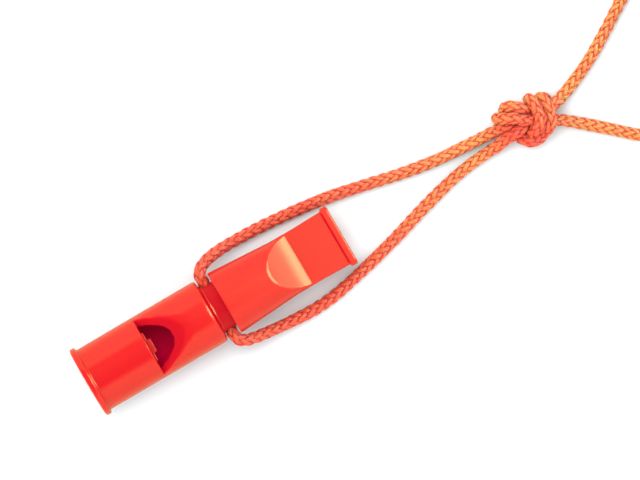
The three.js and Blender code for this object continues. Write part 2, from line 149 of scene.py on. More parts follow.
def tone_drift_effect():
    """Slow drift of a colour between two tones."""
    tree, given, out = new_group(
        "tone_drift",
        [("Main", COLOUR, (0.8, 0.8, 0.8, 1)), ("Other", COLOUR, (0.5, 0.5, 0.5, 1)),
         ("Size mm", FLOAT, 12.0), ("Amount", FLOAT, 0.5)],
        [("Colour", COLOUR), ("Mask", FLOAT)],
    )
    broad = node(tree, "TexNoise", {"Vector": per_mm(tree, given["Size mm"]), "Scale": 1.0,
                                    "Detail": 3.0, "Roughness": 0.55})
    share = between(tree, broad.outputs[0], 0.32, 0.68)
    share = sums(tree, "MULTIPLY", share, given["Amount"])
    join(tree, mixed(tree, share, given["Main"], given["Other"]), out["Colour"])
    join(tree, share, out["Mask"])
    return tree


def fine_grain_effect():
    """Shallow uneven relief, as a moulded skin or a pressed fibre has."""
    tree, given, out = new_group(
        "fine_grain",
        [("Size mm", FLOAT, 0.5), ("Depth", FLOAT, 1.0)],
        [("Height", FLOAT)],
    )
    grain = node(tree, "TexNoise", {"Vector": per_mm(tree, given["Size mm"]), "Scale": 1.0,
                                    "Detail": 2.0, "Roughness": 0.5})
    level = sums(tree, "SUBTRACT", grain.outputs[0], 0.5)
    join(tree, sums(tree, "MULTIPLY", level, given["Depth"]), out["Height"])
    return tree


def handling_wear_effect():
    """Faint scuffs from pockets and bags, in long thin marks, and where they are thickest."""
    tree, given, out = new_group(
        "handling_wear",
        [("Size mm", FLOAT, 6.0), ("Amount", FLOAT, 0.5)],
        [("Mask", FLOAT), ("Height", FLOAT)],
    )
    marks = []
    for stretch in ((0.25, 2.6, 2.0), (2.2, 0.3, 2.4)):
        streak = node(tree, "TexNoise", {"Vector": per_mm(tree, given["Size mm"], stretch),
                                         "Scale": 2.6, "Detail": 5.0, "Roughness": 0.7})
        marks.append(between(tree, streak.outputs[0], 0.60, 0.78))
    worn = node(tree, "TexNoise", {"Vector": per_mm(tree, given["Size mm"]), "Scale": 0.7,
                                   "Detail": 1.0})
    where = between(tree, worn.outputs[0], 0.40, 0.65)
    marked = sums(tree, "MAXIMUM", marks[0], marks[1])
    marked = sums(tree, "MULTIPLY", marked, where)
    marked = sums(tree, "MULTIPLY", marked, given["Amount"])
    join(tree, marked, out["Mask"])
    join(tree, sums(tree, "MULTIPLY", marked, -1.0), out["Height"])
    return tree


def yarn_fibres_effect():
    """Fine threads that run along a yarn, from its own flat coordinates in yarn widths."""
    tree, given, out = new_group(
        "yarn_fibres",
        [("Threads", FLOAT, 9.0), ("Looseness", FLOAT, 0.5)],
        [("Mask", FLOAT), ("Plies", FLOAT), ("Height", FLOAT)],
    )
    flat = node(tree, "SeparateXYZ", {0: node(tree, "UVMap", uv_map="yarn").outputs[0]})
    around, along = flat.outputs[0], flat.outputs[1]
    wander = node(tree, "TexNoise", {"Vector": per_mm(tree, 1.1), "Scale": 1.0, "Detail": 2.0})
    bent = sums(tree, "MULTIPLY", sums(tree, "SUBTRACT", wander.outputs[0], 0.5),
                given["Looseness"])
    across = sums(tree, "MULTIPLY", sums(tree, "ADD", around, sums(tree, "MULTIPLY", bent, 0.3)),
                  given["Threads"])
    place = node(tree, "CombineXYZ", {0: across, 1: sums(tree, "MULTIPLY", along, 0.35)})
    thread = node(tree, "TexNoise", {"Vector": place.outputs[0], "Scale": 1.7, "Detail": 3.0,
                                     "Roughness": 0.6})
    share = between(tree, thread.outputs[0], 0.3, 0.7)
    twisted = sums(tree, "MULTIPLY", sums(tree, "ADD", sums(tree, "MULTIPLY", around, 6.0),
                                          sums(tree, "MULTIPLY", along, 1.1)), math.pi)
    grooves = between(tree, sums(tree, "ABSOLUTE", sums(tree, "SINE", twisted)), 0.55, 0.0)
    join(tree, share, out["Mask"])
    join(tree, grooves, out["Plies"])
    join(tree, sums(tree, "SUBTRACT", share, sums(tree, "MULTIPLY", grooves, 1.6)), out["Height"])
    return tree


EFFECTS = {
    "tone": tone_drift_effect(),
    "grain": fine_grain_effect(),
    "wear": handling_wear_effect(),
    "fibres": yarn_fibres_effect(),
}


def effect(tree, name, **inputs):
    made = tree.nodes.new("ShaderNodeGroup")
    made.node_tree = EFFECTS[name]
    for key, value in inputs.items():
        join(tree, value, made.inputs[key.replace("_", " ")])
    return made.outputs


def new_material(name, **constants):
    """A material with one Principled shader, its constant numbers set on the shader itself."""
    material = bpy.data.materials.new(name)
    material.use_nodes = True
    tree = material.node_tree
    shader = tree.nodes["Principled BSDF"]
    for key, value in constants.items():
        shader.inputs[key.replace("_", " ")].default_value = value
    return material, tree, shader.inputs


def bump(tree, shader, height, distance_mm, strength=1.0):
    made = node(tree, "Bump", {"Height": height, "Distance": distance_mm * MM,
                               "Strength": strength})
    join(tree, made.outputs[0], shader["Normal"])


def place_x(tree):
    """Where a point lies along the whistle's axis, in millimetres from its middle."""
    place = node(tree, "SeparateXYZ", {0: node(tree, "TexCoord").outputs["Object"]})
    return sums(tree, "MULTIPLY", place.outputs[0], 1000.0)


# Finishes

def moulded_plastic(name, main, other, roughness, gloss):
    """Moulded plastic, a little translucent, with a trace of sink and flow in its surface."""
    material, tree, shader = new_material(name, Specular_IOR_Level=gloss, IOR=1.49,
                                          Subsurface_Weight=0.35, Subsurface_Scale=0.003)
    shader["Specular Tint"].default_value = (1.0, 1.0, 0.42, 1)
    shader["Subsurface Radius"].default_value = (1.0, 0.05, 0.08)
    tone = effect(tree, "tone", Main=main, Other=other, Size_mm=14.0, Amount=0.6)
    wear = effect(tree, "wear", Size_mm=7.0, Amount=0.6)
    grain = effect(tree, "grain", Size_mm=1.1, Depth=1.0)
    worn = sums(tree, "MULTIPLY", wear["Mask"], 0.14)
    join(tree, tone["Colour"], shader["Base Color"])
    join(tree, sums(tree, "ADD", worn, roughness), shader["Roughness"])
    height = sums(tree, "ADD", grain["Height"], sums(tree, "MULTIPLY", wear["Height"], 0.5))
    bump(tree, shader, height, 0.010)
    return material


# Middle of the painted shade in the knot's recess, in millimetres
KNOT_SHADE_CENTRE = (102.5, -1.5, 3.5)


def cord_yarn():
    """Polyester yarn, redder at the whistle and paler towards the knot, with painted shade as a
    deeper red round the knot's recess and along the edges of each yarn where it meets the next."""
    material, tree, shader = new_material(
        "cord_yarn", Sheen_Weight=0.1, Sheen_Roughness=0.4, Specular_IOR_Level=0.38,
        Subsurface_Weight=0.6, Subsurface_Scale=0.0016)
    shader["Subsurface Radius"].default_value = (1.0, 0.12, 0.05)
    # Paler towards the knot, from 25 mm to 100 mm along the axis
    pale_share = between(tree, place_x(tree), 25.0, 100.0)
    # Painted shade: a deeper red that is strongest within 4.5 mm of the knot's recess and gone by
    # 15 mm
    from_knot = node(tree, "VectorMath", {0: node(tree, "TexCoord").outputs["Object"],
                                          1: [c * MM for c in KNOT_SHADE_CENTRE]}, operation="DISTANCE")
    outside_knot_shade = between(tree, from_knot.outputs["Value"], 4.5 * MM, 15.0 * MM)
    pale_share = sums(tree, "MULTIPLY", pale_share, outside_knot_shade)
    dark = mixed(tree, pale_share, (0.50, 0.020, 0.007, 1), (0.43, 0.050, 0.008, 1))
    pale = mixed(tree, pale_share, (0.55, 0.084, 0.016, 1), (0.485, 0.255, 0.044, 1))
    fibres = effect(tree, "fibres", Threads=11.0, Looseness=0.6)
    tone = effect(tree, "tone", Main=pale, Other=dark, Size_mm=6.0, Amount=0.35)
    # Random darker threads, and painted shade in the grooves between the plies
    thread_tone_and_ply_shade = sums(tree, "MAXIMUM", sums(tree, "MULTIPLY", fibres["Mask"], 0.35),
                  sums(tree, "MULTIPLY", fibres["Plies"], 0.75))
    colour = mixed(tree, thread_tone_and_ply_shade, tone["Colour"], dark)
    # Painted shade: each yarn turns a deeper red along both of its edges, where it meets the next
    # yarn
    around = node(tree, "SeparateXYZ", {0: node(tree, "UVMap", uv_map="yarn").outputs[0]})
    turn = sums(tree, "ADD", sums(tree, "MULTIPLY", around.outputs[0], TURN), TURN / 16)
    yarn_edge_shade = between(tree, sums(tree, "ABSOLUTE", sums(tree, "COSINE", turn)), 0.50, 0.98)
    colour = mixed(tree, yarn_edge_shade, colour, mixed(tree, pale_share, (0.42, 0.010, 0.008, 1),
                                               (0.50, 0.022, 0.008, 1)))
    join(tree, colour, shader["Base Color"])
    join(tree, between(tree, fibres["Mask"], 0.0, 1.0, 0.40, 0.62), shader["Roughness"])
    bump(tree, shader, fibres["Height"], 0.06, 0.8)
    return material


def cord_core():
    """The cord's filling, which shows only between the yarns; its deep red, darker than the yarns,
    is painted shade for those gaps.
    """
    material, tree, shader = new_material("cord_core", Roughness=0.9)
    # Painted shade: a deeper red than the yarns, so that the gaps read as shaded
    tone = effect(tree, "tone", Main=(0.45, 0.010, 0.007, 1), Other=(0.38, 0.008, 0.006, 1),
                  Size_mm=2.0, Amount=0.8)
    grain = effect(tree, "grain", Size_mm=0.4, Depth=1.0)
    join(tree, tone["Colour"], shader["Base Color"])
    bump(tree, shader, grain["Height"], 0.05)
    return material


def strap_webbing():
    """Woven polyamide, almost black."""
    material, tree, shader = new_material("strap_webbing", Sheen_Weight=0.04,
                                          Specular_IOR_Level=0.3)
    tone = effect(tree, "tone", Main=(0.016, 0.016, 0.018, 1), Other=(0.027, 0.027, 0.03, 1),
                  Size_mm=1.2, Amount=0.7)
    fibres = effect(tree, "fibres", Threads=40.0, Looseness=0.2)
    colour = mixed(tree, sums(tree, "MULTIPLY", fibres["Mask"], 0.4), tone["Colour"],
                   (0.009, 0.009, 0.010, 1))
    join(tree, colour, shader["Base Color"])
    join(tree, between(tree, fibres["Mask"], 0.0, 1.0, 0.7, 0.9), shader["Roughness"])
    bump(tree, shader, fibres["Height"], 0.04, 0.6)
    return material


def strap_thread():
    """Grey sewing thread."""
    material, tree, shader = new_material("strap_thread", Sheen_Weight=0.1)
    tone = effect(tree, "tone", Main=(0.17, 0.17, 0.18, 1), Other=(0.12, 0.12, 0.13, 1),
                  Size_mm=1.5, Amount=0.8)
    grain = effect(tree, "grain", Size_mm=0.25, Depth=1.0)
    join(tree, tone["Colour"], shader["Base Color"])
    join(tree, between(tree, tone["Mask"], 0.0, 1.0, 0.5, 0.7), shader["Roughness"])
    bump(tree, shader, grain["Height"], 0.05)
    return material


def cork():
    """Pale cork with darker pores and grain."""
    material, tree, shader = new_material("cork", Specular_IOR_Level=0.3)
    pores = node(tree, "TexVoronoi", {"Vector": per_mm(tree, 1.0), "Scale": 1.4})
    pore = between(tree, pores.outputs["Distance"], 0.16, 0.34)
    tone = effect(tree, "tone", Main=(0.42, 0.22, 0.095, 1), Other=(0.30, 0.14, 0.055, 1),
                  Size_mm=1.6, Amount=0.8)
    grain = effect(tree, "grain", Size_mm=0.35, Depth=1.0)
    join(tree, mixed(tree, pore, (0.07, 0.03, 0.014, 1), tone["Colour"]), shader["Base Color"])
    join(tree, between(tree, tone["Mask"], 0.0, 1.0, 0.75, 0.9), shader["Roughness"])
    bump(tree, shader, sums(tree, "ADD", grain["Height"], pore), 0.08)
    return material


CORD_YARN = cord_yarn()
CORD_CORE = cord_core()
STRAP_WEBBING = strap_webbing()
STRAP_THREAD = strap_thread()
CORK = cork()


# Meshes

def mesh_piece(name, vertices, faces, materials, body="whistle", normals=None, flat=None,
               face_materials=None):
    """A piece from points in millimetres, riding on its body."""
    mesh = bpy.data.meshes.new(name)
    mesh.from_pydata((np.asarray(vertices) * MM).tolist(), [], faces)
    for material in materials:
        mesh.materials.append(material)
    mesh.polygons.foreach_set("use_smooth", [True] * len(mesh.polygons))
    if face_materials is not None:
        mesh.polygons.foreach_set("material_index", face_materials)
    if flat is not None:
        layer = mesh.uv_layers.new(name="yarn")
        layer.uv.foreach_set("vector", np.asarray(flat, float).ravel())
    mesh.update()
    if normals is not None:
        mesh.normals_split_custom_set_from_vertices(np.asarray(normals).tolist())
    piece = bpy.data.objects.new(name, mesh)
    bpy.context.scene.collection.objects.link(piece)
    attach(piece, body)
    return piece


def unit_rows(rows):
    """Every row as a direction of length one."""
    return rows / np.linalg.norm(rows, axis=1)[:, None]


class Skin:
    """Points, faces and flat coordinates of several tubes, gathered into one mesh."""

    def __init__(self):
        self.points, self.faces, self.flat, self.kinds = [], [], [], []
        self.count = 0

    def tube(self, rings, along, kind=0, capped=True):
        """rings is (n, sides, 3), and along is each ring's distance in yarn widths."""
        steps, sides = rings.shape[:2]
        grid = self.count + np.arange(steps * sides).reshape(steps, sides)
        after = np.roll(grid, -1, axis=1)
        quads = np.stack([grid[:-1], after[:-1], after[1:], grid[1:]], axis=2).reshape(-1, 4)
        around = np.arange(sides + 1) / sides
        u0, v0 = np.meshgrid(around[:-1], along[:-1])
        u1, v1 = np.meshgrid(around[1:], along[1:])
        flat = np.stack([u0, v0, u1, v0, u1, v1, u0, v1], axis=2).reshape(-1, 2)
        self.points.append(rings.reshape(-1, 3))
        self.faces.extend(quads.tolist())
        self.flat.extend(flat.tolist())
        self.kinds.extend([kind] * len(quads))
        if capped:
            for ring, order in ((grid[0], -1), (grid[-1], 1)):
                self.faces.append(ring[::order].tolist())
                self.flat.extend([[0.5, 0.0]] * sides)
                self.kinds.append(kind)
        self.count += steps * sides

    def piece(self, name, materials, body="whistle"):
        return mesh_piece(name, np.vstack(self.points), self.faces, materials, body,
                          flat=self.flat, face_materials=self.kinds)


# The cord's route: the CAD routes, and both passes through the knot as they lie in the knot

CORD_DIAMETER = 3.7
CORD_RADIUS = CORD_DIAMETER / 2

LOOP_ROUTE = [
    (91.0, 3.4, 2.3), (84.0, 3.9, 1.9), (76.9, 4.5, 1.85), (65.7, 6.3, 1.85),
    (54.2, 8.9, 1.85), (42.7, 11.3, 1.85), (31.4, 12.8, 1.85), (23.6, 13.5, 2.05),
    (17.7, 13.8, 2.75), (12.5, 13.9, 4.0), (8.5, 13.7, 5.6), (5.4, 13.2, 7.2),
    (3.2, 12.4, 8.5), (1.5, 11.2, 9.4), (1.0, 9.4, 9.75), (1.0, 5.0, 9.8),
    (1.0, 0.0, 9.8), (1.0, -5.0, 9.8), (1.0, -9.4, 9.75), (1.5, -11.1, 9.4),
    (3.1, -12.2, 8.5), (5.3, -12.8, 7.2), (8.5, -13.3, 5.6), (12.7, -13.8, 4.0),
    (18.0, -14.3, 2.75), (24.6, -14.6, 2.05), (31.3, -14.1, 1.85), (42.5, -11.8, 1.85),
    (54.1, -8.9, 1.85), (65.6, -5.5, 1.85), (76.8, -2.6, 1.85), (84.0, -1.4, 1.9),
    (91.0, -0.9, 2.3),
]

# The pass that enters beside the upper strand of the loop and leaves as the upper strand
UPPER_PASS = [
    (94.94, 3.16, 3.2), (99.07, 2.6, 4.9), (102.46, 1.92, 5.0), (105.31, 1.1, 3.8),
    (107.73, 0.75, 2.2), (109.46, 1.87, 1.8), (109.55, 3.83, 2.0), (108.49, 5.27, 2.8),
    (107.43, 5.75, 4.6), (107.6, 4.69, 6.6), (108.31, 2.72, 7.8), (108.21, 0.52, 8.0),
    (106.88, -1.17, 7.0), (104.71, -1.89, 5.2), (102.67, -1.38, 3.4), (101.38, 0.81, 1.9),
    (100.33, 3.44, 1.8), (99.88, 5.72, 2.3), (99.89, 7.22, 4.6), (101.15, 7.4, 7.0),
    (103.12, 6.35, 8.0), (104.76, 4.32, 7.9), (106.31, 2.49, 6.4), (108.38, 1.52, 4.9),
    (110.66, 1.37, 4.5), (112.96, 1.45, 4.0),
]

LOWER_PASS = [
    (92.56, -0.89, 3.0), (96.97, -0.18, 4.6), (100.56, 0.31, 5.4), (103.7, 0.01, 5.0),
    (106.22, -0.99, 3.4), (108.49, -1.59, 2.1), (110.58, -0.68, 1.8), (111.47, 1.64, 1.8),
    (111.09, 3.64, 2.2), (110.14, 4.88, 3.6), (109.91, 4.76, 5.6), (110.56, 3.29, 7.3),
    (110.88, 0.85, 7.7), (110.06, -1.38, 7.3), (108.05, -3.02, 6.0), (105.46, -3.86, 4.9),
    (103.18, -3.34, 4.2), (101.52, -1.77, 3.0), (100.04, 0.53, 1.8), (98.5, 2.74, 1.8),
    (97.27, 4.51, 2.6), (97.08, 5.44, 4.6), (98.31, 5.17, 6.8), (100.41, 4.15, 7.9),
    (102.88, 2.72, 7.9), (104.9, 1.3, 6.6), (106.84, -0.3, 4.9), (108.78, -1.43, 4.4),
    (110.84, -2.38, 3.7),
]

UPPER_STRAND = [
    (116.0, 2.1, 2.6), (122.3, 4.5, 1.95), (128.9, 7.6, 1.85), (136.5, 12.1, 1.85),
    (144.5, 17.2, 1.85), (152.3, 21.7, 1.85), (160.6, 25.1, 1.85), (168.0, 26.9, 1.85),
]

LOWER_STRAND = [
    (115.0, -5.5, 2.6), (122.9, -12.4, 1.95), (130.2, -18.9, 1.85), (137.1, -22.9, 1.85),
    (145.3, -25.0, 1.95), (154.3, -25.6, 2.7), (164.0, -25.7, 4.4),
]

COIL_TURNS = 5.5
COIL_RADIUS = 21.0
COIL_CENTRE = (180.0, 1.0)
COIL_TURN_PITCH = CORD_DIAMETER + 0.55
COIL_STEPS_PER_TURN = 24
STRAP_WIDTH = 6.0
STRAP_THICKNESS = 0.8
STRAP_EASE_ANGLE = 0.55
SEAM_GAP = 0.3


def eased(value, low, high):
    share = min(max((value - low) / (high - low), 0.0), 1.0)
    return share * share * (3 - 2 * share)


def coil_route():
    """The coil's middle line: in on the floor, up a layer where it reverses, and out on top."""
    half = COIL_TURNS / 2
    outer_turn = COIL_RADIUS + COIL_TURN_PITCH * half / 2
    inner_turn = outer_turn - COIL_TURN_PITCH * half
    strap_half_angle = STRAP_WIDTH / 2 / (inner_turn - CORD_RADIUS)
    steps = round(COIL_TURNS * COIL_STEPS_PER_TURN)
    points = []
    for i in range(steps + 1):
        turn = COIL_TURNS * i / steps
        angle = math.pi / 2 - TURN * turn
        radius = outer_turn - COIL_TURN_PITCH * (half - abs(half - turn))
        climb = eased(turn, half - 0.25, half + 0.25)
        from_strap = abs(math.atan2(math.sin(angle), math.cos(angle)))
        lift = 1 - eased(from_strap, strap_half_angle, strap_half_angle + STRAP_EASE_ANGLE)
        points.append((
            COIL_CENTRE[0] + radius * math.cos(angle),
            COIL_CENTRE[1] + radius * math.sin(angle),
            CORD_RADIUS + (STRAP_THICKNESS + SEAM_GAP) * lift + COIL_TURN_PITCH * climb,
        ))
    first, last = points[0], points[-1]
    return ([(first[0] - CORD_DIAMETER, first[1], first[2])] + points
            + [(last[0] - CORD_DIAMETER, last[1], last[2])])


def spline(points, per_span=10):
    """A closed centripetal Catmull-Rom curve through the points, and where each point falls."""
    p = np.asarray(points, float)
    line = []
    count = len(p)
    for i in range(count):
        p0, p1, p2, p3 = (p[(i + k) % count] for k in (-1, 0, 1, 2))
        t0 = 0.0
        t1 = t0 + np.linalg.norm(p1 - p0) ** 0.5
        t2 = t1 + np.linalg.norm(p2 - p1) ** 0.5
        t3 = t2 + np.linalg.norm(p3 - p2) ** 0.5
        t = np.linspace(t1, t2, per_span, endpoint=False)[:, None]
        a1 = ((t1 - t) * p0 + (t - t0) * p1) / (t1 - t0)
        a2 = ((t2 - t) * p1 + (t - t1) * p2) / (t2 - t1)
        a3 = ((t3 - t) * p2 + (t - t2) * p3) / (t3 - t2)
        b1 = ((t2 - t) * a1 + (t - t0) * a2) / (t2 - t0)
        b2 = ((t3 - t) * a2 + (t - t1) * a3) / (t3 - t1)
        line.append(((t2 - t) * b1 + (t - t1) * b2) / (t2 - t1))
    return np.vstack(line)


def even_ring(line, step):
    """The closed line again with points about a step apart, and its length."""
    closed = np.vstack([line, line[:1]])
    run = np.concatenate([[0.0], np.cumsum(np.linalg.norm(np.diff(closed, axis=0), axis=1))])
    count = round(run[-1] / step)
    at = np.arange(count) * run[-1] / count
    return np.stack([np.interp(at, run, closed[:, k]) for k in range(3)], axis=1), run[-1]


def nearest(line, point):
    return int(np.linalg.norm(line - np.asarray(point, float), axis=1).argmin())


def settle_knot(ring, passes, contact=3.2, rounds=150):
    """Both passes through the knot pull taut, and push apart where their surfaces meet."""
    held_ends = 8
    limpness, hold = 0.25, np.array([0.15, 0.15, 0.12])
    push_share, push_limit = 0.25, 0.3
    lowest = 1.75
    index = np.concatenate([np.arange(a, b + 1) for a, b in passes])
    owner = np.concatenate([np.full(b - a + 1, k) for k, (a, b) in enumerate(passes)])
    free = np.concatenate([
        np.minimum(np.arange(b - a + 1), b - a - np.arange(b - a + 1)) >= held_ends
        for a, b in passes
    ])
    x = ring[index].copy()
    home = x.copy()
    step = np.linalg.norm(ring[1] - ring[0])
    apart = np.abs(index[:, None] - index[None]) * step
    same = (owner[:, None] == owner[None]) & (apart < 1.7 * contact)
    for _ in range(rounds):
        wide = x.copy()
        wide[2:-2] = (-x[:-4] + 4 * x[1:-3] + 4 * x[3:-1] - x[4:]) / 6
        move = limpness * (wide - x) + hold * (home - x)
        x[free] += move[free]
        for _ in range(2):
            gap = x[:, None] - x[None]
            distance = np.linalg.norm(gap, axis=2)
            over = np.where(same, 0, np.clip(contact - distance, 0, None))
            away = gap / np.maximum(distance, 1e-6)[..., None]
            push = (away * over[..., None] * push_share).sum(axis=1)
            size = np.linalg.norm(push, axis=1)[:, None]
            push *= np.minimum(1, push_limit / np.maximum(size, 1e-9))
            x[free] += push[free]
            x[:, 2] = np.maximum(x[:, 2], lowest)
    settled = ring.copy()
    settled[index] = x
    return settled


class Cord:
    """The whole closed cord: its middle line, a frame that turns slowly along it, and its braid.

    The sizes of the yarns and of the core are shares of the cord's radius."""

    STEP = 0.25
    PATTERN_REPEAT = 2.9
    WHOLE_TWISTS = 5
    YARNS_EACH_WAY = 6
    YARN_THICKNESS = 0.44
    YARN_HALF_WIDTH = 0.38
    YARN_SWELL = 0.03
    YARN_REACH = 0.215
    CORE_RADIUS = 0.42

    def __init__(self):
        coil = coil_route()
        points = (LOOP_ROUTE + LOWER_PASS + LOWER_STRAND + coil[::-1] + UPPER_STRAND[::-1]
                  + UPPER_PASS[::-1])
        ring, _ = even_ring(spline(points), 1.0)
        marks = [nearest(ring, LOOP_ROUTE[-2]), nearest(ring, LOWER_STRAND[1]),
                 nearest(ring, UPPER_STRAND[1]), len(ring) - 1]
        ring = settle_knot(ring, [(marks[0], marks[1]), (marks[2], marks[3])])
        fine, self.length = even_ring(spline(ring, 6), self.STEP)
        self.line = fine
        self.at = np.arange(len(fine)) * self.length / len(fine)
        self.build_frame()
        repeats = round(self.length / self.PATTERN_REPEAT)
        self.pitch = self.YARNS_EACH_WAY * self.length / repeats
        self.knot_in = self.where(LOOP_ROUTE[-1])
        self.lower_exit = self.where(LOWER_STRAND[0])
        self.upper_exit = self.where(UPPER_STRAND[0])

    def where(self, point):
        """The distance along the ring of its nearest place to a point."""
        return self.at[nearest(self.line, point)]

    def build_frame(self):
        """Side and over directions that follow the line, closed by a few whole twists."""
        ahead, behind = np.roll(self.line, -1, axis=0), np.roll(self.line, 1, axis=0)
        tangent = unit_rows(ahead - behind)
        side = np.empty_like(tangent)
        turned = np.cross(tangent[0], (0.0, 0.0, 1.0))
        for i, along in enumerate(tangent):
            turned = turned - along * turned.dot(along)
            turned /= np.linalg.norm(turned)
            side[i] = turned
        over = np.cross(tangent, side)
        closing = turned - tangent[0] * turned.dot(tangent[0])
        slip = math.atan2(closing.dot(over[0]), closing.dot(side[0]))
        twist = (TURN * self.WHOLE_TWISTS - slip) * self.at / self.length
        cos, sin = np.cos(twist)[:, None], np.sin(twist)[:, None]
        self.side, self.over = cos * side + sin * over, cos * over - sin * side

    def sample(self, rows, at):
        """Rows of the ring at distances that may run past its end."""
        share = (np.asarray(at) / self.length * len(rows)) % len(rows)
        low = np.floor(share).astype(int) % len(rows)
        part = (share - np.floor(share))[:, None]
        return rows[low] * (1 - part) + rows[(low + 1) % len(rows)] * part

    def middle(self, start, end, step=2.0):
        """The middle line between two distances."""
        count = max(2, round((end - start) / step) + 1)
        return self.sample(self.line, np.linspace(start, end, count))

    def radius_at(self, at):
        """The cord is a little thicker and thinner along its length, as a soft braid is."""
        phase = TURN * np.asarray(at) / self.length
        wave = (np.sin(29 * phase + 0.7) + 0.7 * np.sin(53 * phase + 2.1)
                + 0.5 * np.sin(97 * phase + 4.0))
        return CORD_RADIUS * (1 + 0.018 * wave)

    def braid(self, skin, at, sides=8):
        """Twelve flat yarns, two over and two under, with their fibres along them."""
        step = at[1] - at[0]
        wide = np.concatenate([[at[0] - step], at, [at[-1] + step]])
        centre = self.sample(self.line, wide)
        side = unit_rows(self.sample(self.side, wide))
        over = unit_rows(self.sample(self.over, wide))
        radius = self.radius_at(wide)
        thickness = self.YARN_THICKNESS * radius
        reach = self.YARN_REACH * radius
        middle = radius - reach - thickness / 2
        corner = (np.arange(sides) + 0.5) * TURN / sides
        for way in (1, -1):
            for carrier in range(self.YARNS_EACH_WAY):
                theta = TURN * (way * wide / self.pitch + carrier / self.YARNS_EACH_WAY)
                float_up = way * np.cos(self.YARNS_EACH_WAY // 2 * (theta - math.radians(15)))
                float_up = 1.15 * float_up - 0.15 * float_up ** 3
                out = np.cos(theta)[:, None] * side + np.sin(theta)[:, None] * over
                path = centre + (middle + reach * float_up)[:, None] * out
                along = unit_rows(np.gradient(path, axis=0))
                across = unit_rows(np.cross(along, out))
                up = np.cross(across, along)
                half_width = (self.YARN_HALF_WIDTH + self.YARN_SWELL * float_up) * radius
                rings = (path[:, None]
                         + (half_width[:, None] * np.cos(corner))[..., None] * across[:, None]
                         + (thickness[:, None] / 2 * np.sin(corner))[..., None] * up[:, None])
                run = np.cumsum(np.linalg.norm(np.diff(path, axis=0), axis=1)) / YARN_WIDTH
                skin.tube(rings[1:-1], run[:-1] + 7.3 * carrier + 3.1 * way)

    def core(self, skin, at, sides=8):
        """The round filling inside the braid."""
        centre = self.sample(self.line, at)
        side = unit_rows(self.sample(self.side, at))
        over = unit_rows(self.sample(self.over, at))
        corner = np.arange(sides) * TURN / sides
        ring = (np.cos(corner)[None, :, None] * side[:, None]
                + np.sin(corner)[None, :, None] * over[:, None])
        radius = self.CORE_RADIUS * CORD_RADIUS
        skin.tube(centre[:, None] + radius * ring, at / YARN_WIDTH, kind=1)


CORD = Cord()


def spaced(start, end, step):
    """Even distances from start to end, about a step apart."""
    return np.linspace(start, end, max(3, round((end - start) / step) + 1))


def cord_piece(name, stretches, core_step=1.5, sides=8):
    """Braided cord over one or more stretches, each a list of distances along the ring."""
    skin = Skin()
    for at in stretches:
        for part in np.split(at, np.where(np.diff(at) <= 0)[0] + 1):
            CORD.braid(skin, part, sides)
            CORD.core(skin, spaced(part[0], part[-1], core_step))
    return skin.piece(name, [CORD_YARN, CORD_CORE])


knot = cord_piece("braided_knot", [
    spaced(CORD.knot_in, CORD.lower_exit, 0.4),
    spaced(CORD.upper_exit, CORD.length, 0.4),
])
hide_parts("cord_knot")

whistle_loop = cord_piece("braided_whistle_loop", [spaced(0.0, CORD.knot_in, 0.48)])
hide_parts("cord_whistle_loop")


def neck_loop_rings():
    """Close rings on the two strands beside the knot, wider ones on the coil."""
    start, end = CORD.lower_exit, CORD.upper_exit
    close, wide = 0.5, 0.78
    strand = 60.0
    return np.concatenate([
        spaced(start, start + strand, close)[:-1],
        spaced(start + strand, end - strand, wide)[:-1],
        spaced(end - strand, end, close),
    ])


neck_loop = cord_piece("braided_neck_loop", [neck_loop_rings()], core_step=2.5, sides=6)
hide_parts("cord_upper_strand", "cord_coil", "cord_lower_strand")


# Distance fields, in millimetres: negative inside, and the number is the distance to the surface

def shared(a, b, rounding=0.0):
    """What two solids share, with the edge between them rounded."""
    near = np.hypot(np.maximum(rounding + a, 0), np.maximum(rounding + b, 0))
    return np.minimum(-rounding, np.maximum(a, b)) + near


def joined(a, b, fillet=0.0):
    """Two solids together, with a fillet in the corner between them."""
    near = np.hypot(np.maximum(fillet - a, 0), np.maximum(fillet - b, 0))
    return np.maximum(fillet, np.minimum(a, b)) - near


def without(a, b, rounding=0.0):
    """The first solid with the second cut out of it, the cut's edge rounded."""
    return shared(a, -b, rounding)


def span(value, low, high):
    """The slab between two levels."""
    return np.maximum(low - value, value - high)


EDGE = {"soft": 0.45, "plain": 0.3, "crisp": 0.14}
BEAK_ENTRY_SLOPE = math.tan(math.radians(46))
BEAK_FOOT_SLOPE = math.tan(math.radians(30))
BEAK_LEAN = math.tan(math.radians(19))
BEAK_FOOT_FILLET = 0.7
HALF_LENGTH = 42.0
AXIS_HEIGHT = 9.8
SKIN_STEP = 0.26
SHOULDER_ROUNDING = 1.0
NECK_LENGTH = 4.2
NECK_RADIUS = 7.5
NECK_FILLET = 1.1
EYE_HALF_HEIGHT = 2.7
EYE_CLEARANCE = 0.2
SOCKET_DEPTH = 3.7
SOCKET_RADIUS = 8.1


